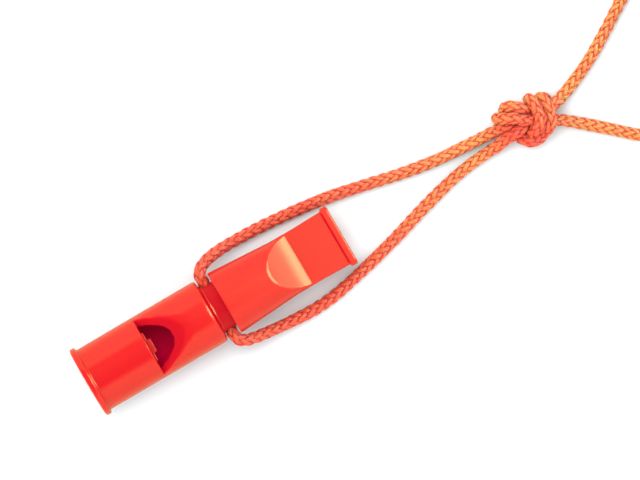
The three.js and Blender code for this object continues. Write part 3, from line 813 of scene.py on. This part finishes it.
class Unit:
    """One whistle unit: mouth face at x = 0, chamber towards +x, window on top, beak below."""

    def __init__(self, length, radii, waist, wall, bore_end, flange, windway, floor, labium_angle,
                 beak, tongue, nose, shoulders):
        self.length, self.wall, self.tongue = length, wall, tongue
        self.flange_width, self.flange_rise = flange
        self.windway_length, self.windway_height = windway
        self.window_floor, self.labium_angle = floor, math.radians(labium_angle)
        self.beak_start, self.beak_run = beak
        self.nose, self.shoulders = nose, shoulders
        self.bore_mouth, self.bore_end = radii[1] - wall, bore_end
        self.waist_to = waist[1]
        self.reach = np.linspace(-8.0, 60.0, 1361)
        outside = np.interp(self.reach, [0.0, waist[0], waist[1], length],
                            [radii[0], radii[1], radii[1], radii[2]])
        soft = np.hanning(81)
        padded = np.pad(outside, 40, mode="edge")
        self.outside = np.convolve(padded, soft / soft.sum(), mode="valid")
        self.block_top = self.bore_mouth - self.windway_height
        self.beaks = {depth: self.beak_line(depth) for depth in (0.0, wall, wall + SEAM_GAP)}

    def beak_line(self, depth):
        """The beak's underside as a height over the length, moved into the barrel by a depth."""
        radius = np.interp(self.beak_start, self.reach, self.outside)
        start = (self.beak_start + depth * BEAK_LEAN, -radius + depth)
        foot = (start[0] - self.beak_run, -self.tongue + depth)
        drop = foot[1] - start[1]
        steeper = BEAK_ENTRY_SLOPE - BEAK_FOOT_SLOPE
        bend_x = start[0] - (drop - BEAK_FOOT_SLOPE * self.beak_run) / steeper
        bend = (bend_x, start[1] + BEAK_ENTRY_SLOPE * (start[0] - bend_x))
        toe = (foot[0] - BEAK_FOOT_FILLET, foot[1])
        heel = (foot[0] + BEAK_FOOT_FILLET, foot[1] - BEAK_FOOT_FILLET * BEAK_FOOT_SLOPE)
        past = (start[0] + 60.0, start[1] - 60.0 * BEAK_ENTRY_SLOPE)
        share = np.linspace(0, 1, 80)[:, None]
        line = [np.array([(-60.0, foot[1])])]
        for a, b, c in ((toe, foot, heel), (heel, bend, start)):
            a, b, c = (np.array(p) for p in (a, b, c))
            line.append((1 - share) ** 2 * a + 2 * share * (1 - share) * b + share ** 2 * c)
        line = np.vstack(line + [np.array([past])])
        keep = np.concatenate([[True], np.diff(line[:, 0]) > 1e-6])
        height = np.interp(self.reach, line[keep, 0], line[keep, 1])
        return height, np.gradient(height, self.reach)

    def round_side(self, p):
        """Outside the barrel's round wall."""
        return np.hypot(p[:, 1], p[:, 2]) - np.interp(p[:, 0], self.reach, self.outside)

    def beak_side(self, p, depth=0.0):
        """Below the beak's underside, or the same surface moved into the barrel."""
        height, slope = self.beaks[depth]
        level = np.interp(p[:, 0], self.reach, height)
        return (level - p[:, 2]) / np.sqrt(1 + np.interp(p[:, 0], self.reach, slope) ** 2)

    def bore_side(self, p, inset=0.0):
        """Outside the bore, which tapers from the windway's end to the far end."""
        radius = np.interp(p[:, 0], [self.waist_to, self.length], [self.bore_mouth, self.bore_end])
        return np.hypot(p[:, 1], p[:, 2]) - radius + inset

    def window(self, p):
        """The wedge cut down to the labium, upright where the windway ends."""
        rise = (p[:, 0] - self.windway_length) * math.tan(self.labium_angle)
        below = rise + self.window_floor - p[:, 2]
        return np.maximum(self.windway_length - p[:, 0], below * math.cos(self.labium_angle))

    def window_edge(self, p):
        """Rounding of the window's edge: slight over the windway, broad along the ramp."""
        share = np.clip((p[:, 0] - self.windway_length - 0.8) / 5.0, 0, 1)
        return EDGE["plain"] + 0.9 * share * share * (3 - 2 * share)

    def rim(self, side, p, edge):
        """The flange: the barrel's own surface raised, between the mouth face and its width."""
        raised = shared(side - self.flange_rise, p[:, 0] - self.flange_width, edge)
        return shared(raised, -p[:, 0], edge)

    def flanged(self, body, side, p):
        """The body cut square at the mouth, with its flange."""
        rounding = 0.6 * self.flange_rise
        body = shared(body, -p[:, 0], EDGE["crisp"])
        return joined(body, self.rim(side, p, rounding), self.flange_rise - rounding)

    def windway_block(self, p, beak_depth):
        """The plug that makes the windway's floor, with a nose between two shoulders."""
        fit = self.bore_side(p, SEAM_GAP)
        top = p[:, 2] - self.block_top
        plug = shared(fit, p[:, 0] - self.windway_length, EDGE["crisp"])
        for length, width in (self.nose, self.shoulders):
            lip = span(p[:, 0], self.windway_length - 2.0, self.windway_length + length)
            lip = np.maximum(lip, np.abs(p[:, 1]) - width / 2)
            lip = np.maximum(lip, span(p[:, 2], self.block_top - 1.5, self.block_top + 2.0))
            plug = joined(plug, np.maximum(lip, fit), 0.1)
        plug = shared(plug, top, EDGE["crisp"])
        return shared(plug, self.beak_side(p, beak_depth), EDGE["plain"])


LOW = Unit(length=40.9, radii=(9.8, 9.8, 9.8), waist=(13.6, 20.4), wall=1.8, bore_end=8.0,
           flange=(1.8, 1.0), windway=(20.26, 1.4), floor=4.6, labium_angle=24.5,
           beak=(21.2, 9.6), tongue=2.1, nose=(1.6, 4.2), shoulders=(0.6, 9.2))
HIGH = Unit(length=38.9, radii=(8.73, 8.47, 9.8), waist=(10.8, 18.8), wall=1.6, bore_end=7.5,
            flange=(2.2, 0.7), windway=(24.5, 1.2), floor=3.9, labium_angle=30.0,
            beak=(23.5, 8.8), tongue=1.9, nose=(1.0, 3.8), shoulders=(0.4, 7.4))


def low_barrel_field(p):
    """The barrel and beak, with the neck, the cord's eye and the spigot in one piece."""
    unit = LOW
    end = unit.length
    out = np.hypot(p[:, 1], p[:, 2])
    barrel = shared(unit.round_side(p), p[:, 0] - end, SHOULDER_ROUNDING)
    neck = np.maximum(out - NECK_RADIUS, p[:, 0] - end - NECK_LENGTH - 1)
    spigot_end = p[:, 0] - end - NECK_LENGTH - SOCKET_DEPTH + SEAM_GAP
    spigot = shared(out - SOCKET_RADIUS + SEAM_GAP, spigot_end, EDGE["soft"])
    spigot = np.maximum(spigot, end + NECK_LENGTH - p[:, 0])
    body = joined(barrel, np.maximum(neck, end - 5 - p[:, 0]), NECK_FILLET)
    body = np.minimum(body, spigot)
    under = unit.beak_side(p)
    side = shared(unit.round_side(p), under, EDGE["soft"])
    body = unit.flanged(shared(body, under, EDGE["soft"]), side, p)
    body = without(body, unit.window(p), unit.window_edge(p))
    bore = shared(unit.bore_side(p), p[:, 0] - end + unit.wall, 0.6)
    body = without(body, bore, EDGE["crisp"])
    eye_radius = CORD_RADIUS + EYE_CLEARANCE
    eye_middle = end + NECK_LENGTH / 2
    tall = np.maximum(np.abs(p[:, 2]) - (EYE_HALF_HEIGHT - eye_radius), 0)
    return without(body, np.hypot(p[:, 0] - eye_middle, tall) - eye_radius, EDGE["soft"])


def high_barrel_field(p):
    """The tapered tube and its beak, with the socket for the spigot."""
    unit = HIGH
    under = unit.beak_side(p)
    side = shared(unit.round_side(p), under, EDGE["soft"])
    body = shared(side, p[:, 0] - unit.length, EDGE["plain"])
    body = unit.flanged(body, side, p)
    body = without(body, unit.window(p), unit.window_edge(p))
    bore = shared(unit.bore_side(p), unit.beak_side(p, unit.wall), 0.5)
    socket_end = unit.length - SOCKET_DEPTH - p[:, 0]
    socket = np.maximum(np.hypot(p[:, 1], p[:, 2]) - SOCKET_RADIUS, socket_end)
    return without(without(body, bore, EDGE["crisp"]), socket, EDGE["crisp"])


def low_block_field(p):
    """The windway's plug, whose flat underside carries its part of the flange."""
    unit = LOW
    rounding = 0.6 * unit.flange_rise
    plug = shared(unit.windway_block(p, 0.0), -p[:, 0], EDGE["crisp"])
    bar = unit.rim(unit.beak_side(p), p, rounding)
    bar = shared(bar, unit.bore_side(p, SEAM_GAP), 0.05)
    bar = np.maximum(bar, p[:, 2] - unit.block_top + 0.5)
    return joined(plug, bar, unit.flange_rise - rounding)


def high_block_field(p):
    """The windway's plug, which lies inside the beak's wall."""
    return shared(HIGH.windway_block(p, HIGH.wall + SEAM_GAP), -p[:, 0], EDGE["crisp"])


def slopes(field, points, reach=0.03):
    """Which way, and how fast, a field grows at each point."""
    made = np.empty_like(points)
    for axis in range(3):
        step = np.zeros(3)
        step[axis] = reach
        made[:, axis] = field(points + step) - field(points - step)
    return made / (2 * reach)


def edge_ends(grid, axis):
    """The numbers at both ends of every grid edge along an axis."""
    first, second = [slice(None)] * 3, [slice(None)] * 3
    first[axis], second[axis] = slice(0, -1), slice(1, None)
    return grid[tuple(first)], grid[tuple(second)]


def crossed_edges(grid):
    """For each axis, which of the edges along it the surface crosses."""
    ends = [edge_ends(grid < 0, axis) for axis in range(3)]
    return [first != second for first, second in ends]


def cell_points(grid, crossed):
    """A point in each cell that the surface passes, at the middle of its crossings."""
    cells = tuple(n - 1 for n in grid.shape)
    total, count = np.zeros(cells + (3,)), np.zeros(cells)
    for axis in range(3):
        first, second = (end[crossed[axis]] for end in edge_ends(grid, axis))
        at = np.argwhere(crossed[axis])
        spot = at.astype(float)
        spot[:, axis] += first / (first - second)
        others = [k for k in range(3) if k != axis]
        for back in ((0, 0), (0, 1), (1, 0), (1, 1)):
            cell = at.copy()
            cell[:, others] -= back
            good = ((cell >= 0) & (cell < cells)).all(axis=1)
            key = tuple(cell[good].T)
            np.add.at(total, key, spot[good])
            np.add.at(count, key, 1)
    used = count > 0
    number = np.full(cells, -1)
    number[used] = np.arange(used.sum())
    return total[used] / count[used][:, None], number


def surface_quads(grid, crossed, number):
    """A quad round every crossed edge, between the points of its four cells."""
    cells = number.shape
    quads = []
    for axis in range(3):
        at = np.argwhere(crossed[axis])
        b, c = (axis + 1) % 3, (axis + 2) % 3
        good = (at[:, b] > 0) & (at[:, c] > 0) & (at[:, b] < cells[b]) & (at[:, c] < cells[c])
        at = at[good]
        ring = []
        for back in ((1, 1), (0, 1), (0, 0), (1, 0)):
            cell = at.copy()
            cell[:, [b, c]] -= back
            ring.append(number[tuple(cell.T)])
        quad = np.stack(ring, axis=1)
        outward = grid[tuple(at.T)] < 0
        quads.append(np.where(outward[:, None], quad, quad[:, ::-1]))
    return np.vstack(quads)


def relaxed(field, points, quads, step, rounds):
    """The points drawn onto the surface, and spread evenly over it between the rounds."""
    ends = np.concatenate([quads[:, [k, (k + 1) % 4]] for k in range(4)])
    for turn in range(rounds + 1):
        for _ in range(3):
            slope = slopes(field, points)
            size = np.maximum((slope ** 2).sum(axis=1), 0.25)
            points = points - slope * (np.clip(field(points), -step, step) / size)[:, None]
        if turn < rounds:
            near, share = np.zeros_like(points), np.zeros(len(points))
            np.add.at(near, ends[:, 0], points[ends[:, 1]])
            np.add.at(share, ends[:, 0], 1)
            points = points + 0.5 * (near / share[:, None] - points)
    return points


def skinned(field, low, high, step, rounds=3):
    """A quad mesh on a field's surface, with the field's own slope for its normals."""
    axes = [np.arange(a, b + step, step) for a, b in zip(low, high)]
    corners = np.stack(np.meshgrid(*axes, indexing="ij"), axis=-1).reshape(-1, 3)
    grid = field(corners).reshape([len(axis) for axis in axes])
    crossed = crossed_edges(grid)
    spots, number = cell_points(grid, crossed)
    quads = surface_quads(grid, crossed, number)
    points = spots * step + np.array([axis[0] for axis in axes])
    points = relaxed(field, points, quads, step, rounds)
    return points, quads, unit_rows(slopes(field, points, 0.05))


def low_place(points):
    """From the low-tone unit's own axes to the whistle's."""
    return points + (-HALF_LENGTH, 0, AXIS_HEIGHT)


def high_place(points):
    """From the high-tone unit's own axes to the whistle's: end to end, and upside down."""
    return points * (-1, 1, -1) + (HALF_LENGTH, 0, AXIS_HEIGHT)


def moulded(name, node_name, field, low, high, place, materials, finish=None):
    """A plastic part skinned from its field between two corners, in the unit's own axes."""
    points, quads, normals = skinned(field, low, high, SKIN_STEP)
    origin = place(np.zeros((1, 3)))
    kinds = None if finish is None else finish(points[quads].mean(axis=1)).tolist()
    piece = mesh_piece(name, place(points), quads.tolist(), materials,
                       normals=place(normals) - origin, face_materials=kinds)
    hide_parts(node_name)


# Light: a bright white tent, two softboxes beyond the high-tone end that only polished surfaces
# show, a key lamp nearly overhead that lights everything else and casts the shadows, and a dark
# card over the low-tone barrel that only reflections show. Lengths here are metres.

CARD_HEIGHT = 0.11
CARD_ENDS = (-0.6, 0.04)
CARD_HALF_WIDTH = 0.36
FLOOR_REACH = 3.0


def is_glossy(tree):
    """One for rays that left a polished surface, so that it can see a light of its own."""
    return node(tree, "LightPath").outputs["Is Glossy Ray"]


def light_tent():
    """It gives most light near the floor, while polished surfaces see it brightest overhead."""
    world = bpy.data.worlds.new("tent")
    bpy.context.scene.world = world
    world.use_nodes = True
    tree = world.node_tree
    direction = node(tree, "SeparateXYZ", {0: node(tree, "TexCoord").outputs["Generated"]})
    given = between(tree, direction.outputs[2], 0.05, 0.45, 4.2, 1.85)
    overhead = between(tree, direction.outputs[2], 0.1, 0.9)
    reflected = mixed(tree, overhead, (1.05, 1.085, 1.10, 1), (1.75, 1.75, 1.75, 1))
    colour = mixed(tree, is_glossy(tree), given, reflected)
    join(tree, colour, tree.nodes["Background"].inputs["Color"])


def lamp(name, direction, distance, size, radiance, colour, for_gloss):
    """A rectangular area lamp aimed at the middle of the whistle, its light given as radiance.

    It either shows in polished surfaces or lights the matt ones and casts the shadows."""
    data = bpy.data.lights.new(name, "AREA")
    data.shape = "RECTANGLE"
    data.size, data.size_y = size
    data.energy = math.pi * radiance * size[0] * size[1]
    data.color = colour
    made = bpy.data.objects.new(name, data)
    away = Vector(direction).normalized()
    made.location = away * distance + Vector((0.01, 0.0, 0.0))
    made.rotation_euler = away.to_track_quat("Z", "Y").to_euler()
    made.visible_glossy, made.visible_diffuse = for_gloss, not for_gloss
    bpy.context.scene.collection.objects.link(made)


def level_sheet(name, ends, half_width, height, material):
    """A level rectangle, from one place to another along the whistle's axis."""
    mesh = bpy.data.meshes.new(name)
    (near, far), side = ends, half_width
    mesh.from_pydata([(near, -side, 0), (far, -side, 0), (far, side, 0), (near, side, 0)], [],
                     [(0, 1, 2, 3)])
    mesh.materials.append(material)
    sheet = bpy.data.objects.new(name, mesh)
    sheet.location = (0.0, 0.0, height)
    bpy.context.scene.collection.objects.link(sheet)
    return sheet


def dark_card():
    """A black card with soft edges that only polished surfaces see."""
    material = bpy.data.materials.new("dark_card")
    material.use_nodes = True
    tree = material.node_tree
    tree.nodes.clear()
    place = node(tree, "SeparateXYZ", {0: node(tree, "TexCoord").outputs["Object"]})
    inside_x = between(tree, place.outputs[0], 0.036, -0.012, smooth=False)
    spread = between(tree, place.outputs[0], -0.045, -0.12, 1.0, 3.0)
    width = sums(tree, "DIVIDE", sums(tree, "ABSOLUTE", place.outputs[1]), spread)
    inside_y = between(tree, width, 0.115, 0.055)
    cover = sums(tree, "MULTIPLY", inside_x, inside_y)
    black = node(tree, "Emission", {"Color": (0.05, 0.045, 0.05, 1), "Strength": 1.0})
    clear = node(tree, "BsdfTransparent")
    shown = node(tree, "MixShader", {0: cover, 1: clear.outputs[0], 2: black.outputs[0]})
    join(tree, shown.outputs[0], node(tree, "OutputMaterial").inputs["Surface"])
    card = level_sheet("dark_card", CARD_ENDS, CARD_HALF_WIDTH, CARD_HEIGHT, material)
    for kind in ("camera", "diffuse", "transmission", "volume_scatter", "shadow"):
        setattr(card, "visible_" + kind, False)


def pale_floor():
    """Near white to the camera, and darker and warmer where polished surfaces mirror it."""
    material, tree, shader = new_material("pale_floor", Roughness=0.9, Specular_IOR_Level=0.2)
    tone = effect(tree, "tone", Main=(0.535, 0.565, 0.573, 1), Other=(0.525, 0.555, 0.563, 1),
                  Size_mm=60.0, Amount=0.5)
    colour = mixed(tree, is_glossy(tree), tone["Colour"], (0.40, 0.40, 0.25, 1))
    join(tree, colour, shader["Base Color"])
    level_sheet("floor", (-FLOOR_REACH, FLOOR_REACH), FLOOR_REACH, 0.0, material)


light_tent()
lamp("upper_softbox", direction=(0.69, 0.0, 0.724), distance=1.0, size=(0.70, 0.80),
     radiance=12.0, colour=(1.0, 1.0, 1.0), for_gloss=True)
lamp("lower_softbox", direction=(0.98, 0.0, 0.20), distance=1.0, size=(0.42, 0.80),
     radiance=3.2, colour=(1.0, 0.97, 0.90), for_gloss=True)
lamp("key", direction=(-0.08, 0.30, 0.95), distance=1.2, size=(0.7, 0.7),
     radiance=6.9, colour=(1.0, 0.98, 0.95), for_gloss=False)
dark_card()
pale_floor()
bpy.context.scene.view_settings.view_transform = "Standard"


# The whistle's plastic parts

BARREL_PLASTIC = moulded_plastic(
    "barrel_plastic", (0.40, 0.0015, 0.0074, 1), (0.385, 0.0011, 0.0068, 1),
    roughness=0.21, gloss=0.5)
# Painted shade: a crimson copy of the barrel plastic for the shaded bore, which is also rougher
# and duller
BORE_SHADED_PLASTIC = moulded_plastic(
    "unpolished_shaded_plastic", (0.55, 0.0010, 0.042, 1), (0.51, 0.0008, 0.038, 1),
    roughness=0.6, gloss=0.05)
# Painted shade: a darker copy of the barrel plastic for the window and the neck, which is also
# duller
RECESS_SHADED_PLASTIC = moulded_plastic(
    "recess_shaded_plastic", (0.34, 0.0008, 0.0082, 1), (0.325, 0.0006, 0.0078, 1),
    roughness=0.28, gloss=0.10)
BLOCK_PLASTIC = moulded_plastic(
    "block_plastic", (0.38, 0.0020, 0.0090, 1), (0.36, 0.0015, 0.0082, 1),
    roughness=0.30, gloss=0.35)
BARREL_FINISHES = [BARREL_PLASTIC, BORE_SHADED_PLASTIC, RECESS_SHADED_PLASTIC]
POLISHED, UNPOLISHED_AND_SHADED, RECESSED_AND_SHADED = range(3)
ON_SURFACE = 0.08


def low_barrel_finish(p):
    """Polished outside, a crimson copy with painted shade in the bore, and a darker, duller copy
    with painted shade in the window and round the neck.
    """
    past_shoulder = p[:, 0] - LOW.length
    neck = (np.hypot(p[:, 1], p[:, 2]) < 8.4) & (past_shoulder > 0.75)
    recess = neck | (LOW.window(p) < 0.3)
    bore = np.maximum(LOW.bore_side(p), past_shoulder + LOW.wall) < ON_SURFACE
    return np.where(bore, UNPOLISHED_AND_SHADED, np.where(recess, RECESSED_AND_SHADED, POLISHED))


def high_barrel_finish(p):
    """Polished outside, a crimson copy with painted shade in the bore, and a darker, duller copy
    with painted shade in the window.
    """
    bore = np.maximum(HIGH.bore_side(p), HIGH.beak_side(p, HIGH.wall)) < ON_SURFACE
    recess = HIGH.window(p) < ON_SURFACE
    return np.where(bore, UNPOLISHED_AND_SHADED, np.where(recess, RECESSED_AND_SHADED, POLISHED))


moulded("low_tone_barrel", "low_barrel", low_barrel_field,
        (-0.6, -11.4, -11.4), (49.2, 11.4, 11.4), low_place, BARREL_FINISHES, low_barrel_finish)
moulded("high_tone_barrel", "high_barrel", high_barrel_field,
        (-0.6, -10.4, -10.4), (39.6, 10.4, 10.4), high_place, BARREL_FINISHES, high_barrel_finish)
moulded("low_tone_windway_block", "low_windway_block", low_block_field,
        (-0.6, -8.4, -8.4), (22.6, 8.4, 7.4), low_place, [BLOCK_PLASTIC])
moulded("high_tone_windway_block", "high_windway_block", high_block_field,
        (-0.6, -7.4, -7.4), (26.2, 7.4, 6.4), high_place, [BLOCK_PLASTIC])


# Loose ball, turned from cork

PEA_RADIUS = 4.6
PEA_MIDDLE = (-7.8, 0.0, 6.7)


def ball_field(p):
    return np.linalg.norm(p, axis=1) - PEA_RADIUS


def cork_pit(spot):
    """How deep cork lies under the round ball: large and small pores, and a slow swell."""
    large = noise.voronoi(spot * 0.62 + Vector((3.1, 7.7, 1.9)))[0][0]
    small = noise.voronoi(spot * 1.5)[0][0]
    pores = (0.16 * max(0.0, 1 - large / 0.28) ** 0.7
             + 0.07 * max(0.0, 1 - small / 0.25))
    return pores + 0.03 * noise.noise(spot * 0.5)


def cork_pea():
    """A ball with pores sunk into it, and the slight flats and bumps of turned cork."""
    reach = PEA_RADIUS + 0.6
    points, quads, outward = skinned(ball_field, (-reach,) * 3, (reach,) * 3, 0.22, rounds=2)
    sunk = np.array([cork_pit(Vector(point)) for point in points])
    points = points - outward * sunk[:, None]
    piece = mesh_piece("cork_pea", points + PEA_MIDDLE, quads.tolist(), [CORK], body="pea")
    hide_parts("pea")


cork_pea()


# Strap round the coil: one length of webbing, its end lapped over and stitched down

STRAP_LAP = 8.6
STRAP_INNER_WIDTH = 2 * COIL_TURN_PITCH + CORD_DIAMETER + 2 * (SEAM_GAP + 0.3)
STRAP_INNER_HEIGHT = COIL_TURN_PITCH + CORD_DIAMETER + 2 * SEAM_GAP
STRAP_CORNER = CORD_RADIUS
STRAP_FLAT_WIDTH = STRAP_INNER_WIDTH - 2 * STRAP_CORNER
STRAP_FLAT_HEIGHT = STRAP_INNER_HEIGHT - 2 * STRAP_CORNER
STRAP_BEND = STRAP_CORNER * math.pi / 2
STRAP_ROUND = 2 * (STRAP_FLAT_WIDTH + STRAP_FLAT_HEIGHT) + 4 * STRAP_BEND
STRAP_CENTRE = np.array([
    COIL_CENTRE[0] + COIL_RADIUS + COIL_TURN_PITCH * (COIL_TURNS / 4 - 1.25),
    COIL_CENTRE[1],
    STRAP_THICKNESS + STRAP_INNER_HEIGHT / 2,
])

# How far the two faces of the webbing lie above its path: the band itself, and its lapped end
BAND_FACES = (0.08, STRAP_THICKNESS - 0.06)
LAP_FACES = (STRAP_THICKNESS - 0.02, 1.7 * STRAP_THICKNESS)

WEBBING_STEP = 0.17
WEBBING_COLUMNS = 36
WEAVE_LENGTH, WEAVE_WIDTH, WEAVE_DEPTH = 1.02, 1.2, 0.075
BOUND_EDGE = 0.14
STITCH_LENGTH, STITCH_RISE, THREAD_RADIUS = 1.15, 0.18, 0.13


def strap_path(run):
    """A point and its outward direction on the strap's inner face, at a distance round it."""
    sides = [(STRAP_FLAT_WIDTH, (1, 0), (0, 1)), (STRAP_FLAT_HEIGHT, (0, -1), (1, 0)),
             (STRAP_FLAT_WIDTH, (-1, 0), (0, -1)), (STRAP_FLAT_HEIGHT, (0, 1), (-1, 0))]
    run %= STRAP_ROUND
    at = np.array([-STRAP_FLAT_WIDTH / 2, STRAP_INNER_HEIGHT / 2])
    for length, heading, out in sides:
        heading, out = np.array(heading, float), np.array(out, float)
        if run <= length:
            return at + heading * run, out
        run -= length
        at = at + heading * length
        if run <= STRAP_BEND:
            angle = run / STRAP_CORNER
            turned = math.cos(angle) * out + math.sin(angle) * heading
            return at - out * STRAP_CORNER + turned * STRAP_CORNER, turned
        run -= STRAP_BEND
        at = at - out * STRAP_CORNER + heading * STRAP_CORNER
    return at, out


def webbing(skin, start, length, faces, closed):
    """A stretch of woven band: ribs across it, raised threads along it, and bound edges."""
    low, high = faces
    middle = (low + high) / 2
    half_width = STRAP_WIDTH / 2
    steps = round(length / WEBBING_STEP)
    rows = []
    for i in range(steps if closed else steps + 1):
        run = start + length * i / steps
        place, out = strap_path(run)
        thin = 1.0 if closed else min(1.0, 0.45 + min(i, steps - i) * WEBBING_STEP)
        outline = []
        for side, level in ((1, high), (-1, low)):
            for k in range(WEBBING_COLUMNS + 1):
                share = (k / WEBBING_COLUMNS * 2 - 1) * side
                y = share * half_width
                weave = math.cos(TURN * run / WEAVE_LENGTH) * math.cos(TURN * y / WEAVE_WIDTH)
                bound = 1 - 0.55 * max(0.0, abs(share) - 1 + BOUND_EDGE) / BOUND_EDGE
                lift = middle + (level - middle) * bound * thin + side * WEAVE_DEPTH * weave
                spot = place + out * lift
                outline.append((spot[0], y, spot[1]))
        rows.append(outline)
    rings = np.array(rows)[:, ::-1] + STRAP_CENTRE
    if closed:
        rings = np.concatenate([rings, rings[:1]])
    skin.tube(rings, np.arange(len(rings)) * WEBBING_STEP / YARN_WIDTH, capped=not closed)


def stitch(skin, run, y, lengthwise):
    """One stitch of thread on the lap, along the strap or across it."""
    corner = np.arange(8) * TURN / 8
    rings = []
    for share in np.arange(7) / 6:
        offset = (share - 0.5) * STITCH_LENGTH
        place, out = strap_path(run + offset if lengthwise else run)
        spot = place + out * (LAP_FACES[1] - 0.05 + STITCH_RISE * math.sin(math.pi * share))
        middle = np.array([spot[0], y if lengthwise else y + offset, spot[1]])
        outward = np.array([out[0], 0, out[1]])
        heading = np.array([out[1], 0, -out[0]] if lengthwise else [0, 1.0, 0])
        sideways = np.cross(heading, outward)
        rings.append(middle + THREAD_RADIUS * (np.cos(corner)[:, None] * sideways
                                               + np.sin(corner)[:, None] * outward))
    skin.tube(np.array(rings) + STRAP_CENTRE, np.arange(7) * 0.2, kind=1)


def coil_strap():
    """The band, its lapped end, and a box of stitches that holds the lap."""
    skin = Skin()
    lap_middle = STRAP_FLAT_WIDTH / 2
    webbing(skin, 0.0, STRAP_ROUND, BAND_FACES, closed=True)
    webbing(skin, lap_middle - STRAP_LAP / 2, STRAP_LAP, LAP_FACES, closed=False)
    for run in (-3.0, -1.5, 0.0, 1.5, 3.0):
        for y in (-2.1, 2.1):
            stitch(skin, lap_middle + run, y, lengthwise=True)
    for run in (-3.7, 3.7):
        for y in (-1.4, 0.0, 1.4):
            stitch(skin, lap_middle + run, y, lengthwise=False)
    piece = skin.piece("coil_strap_webbing", [STRAP_WEBBING, STRAP_THREAD])
    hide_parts("coil_strap")


coil_strap()
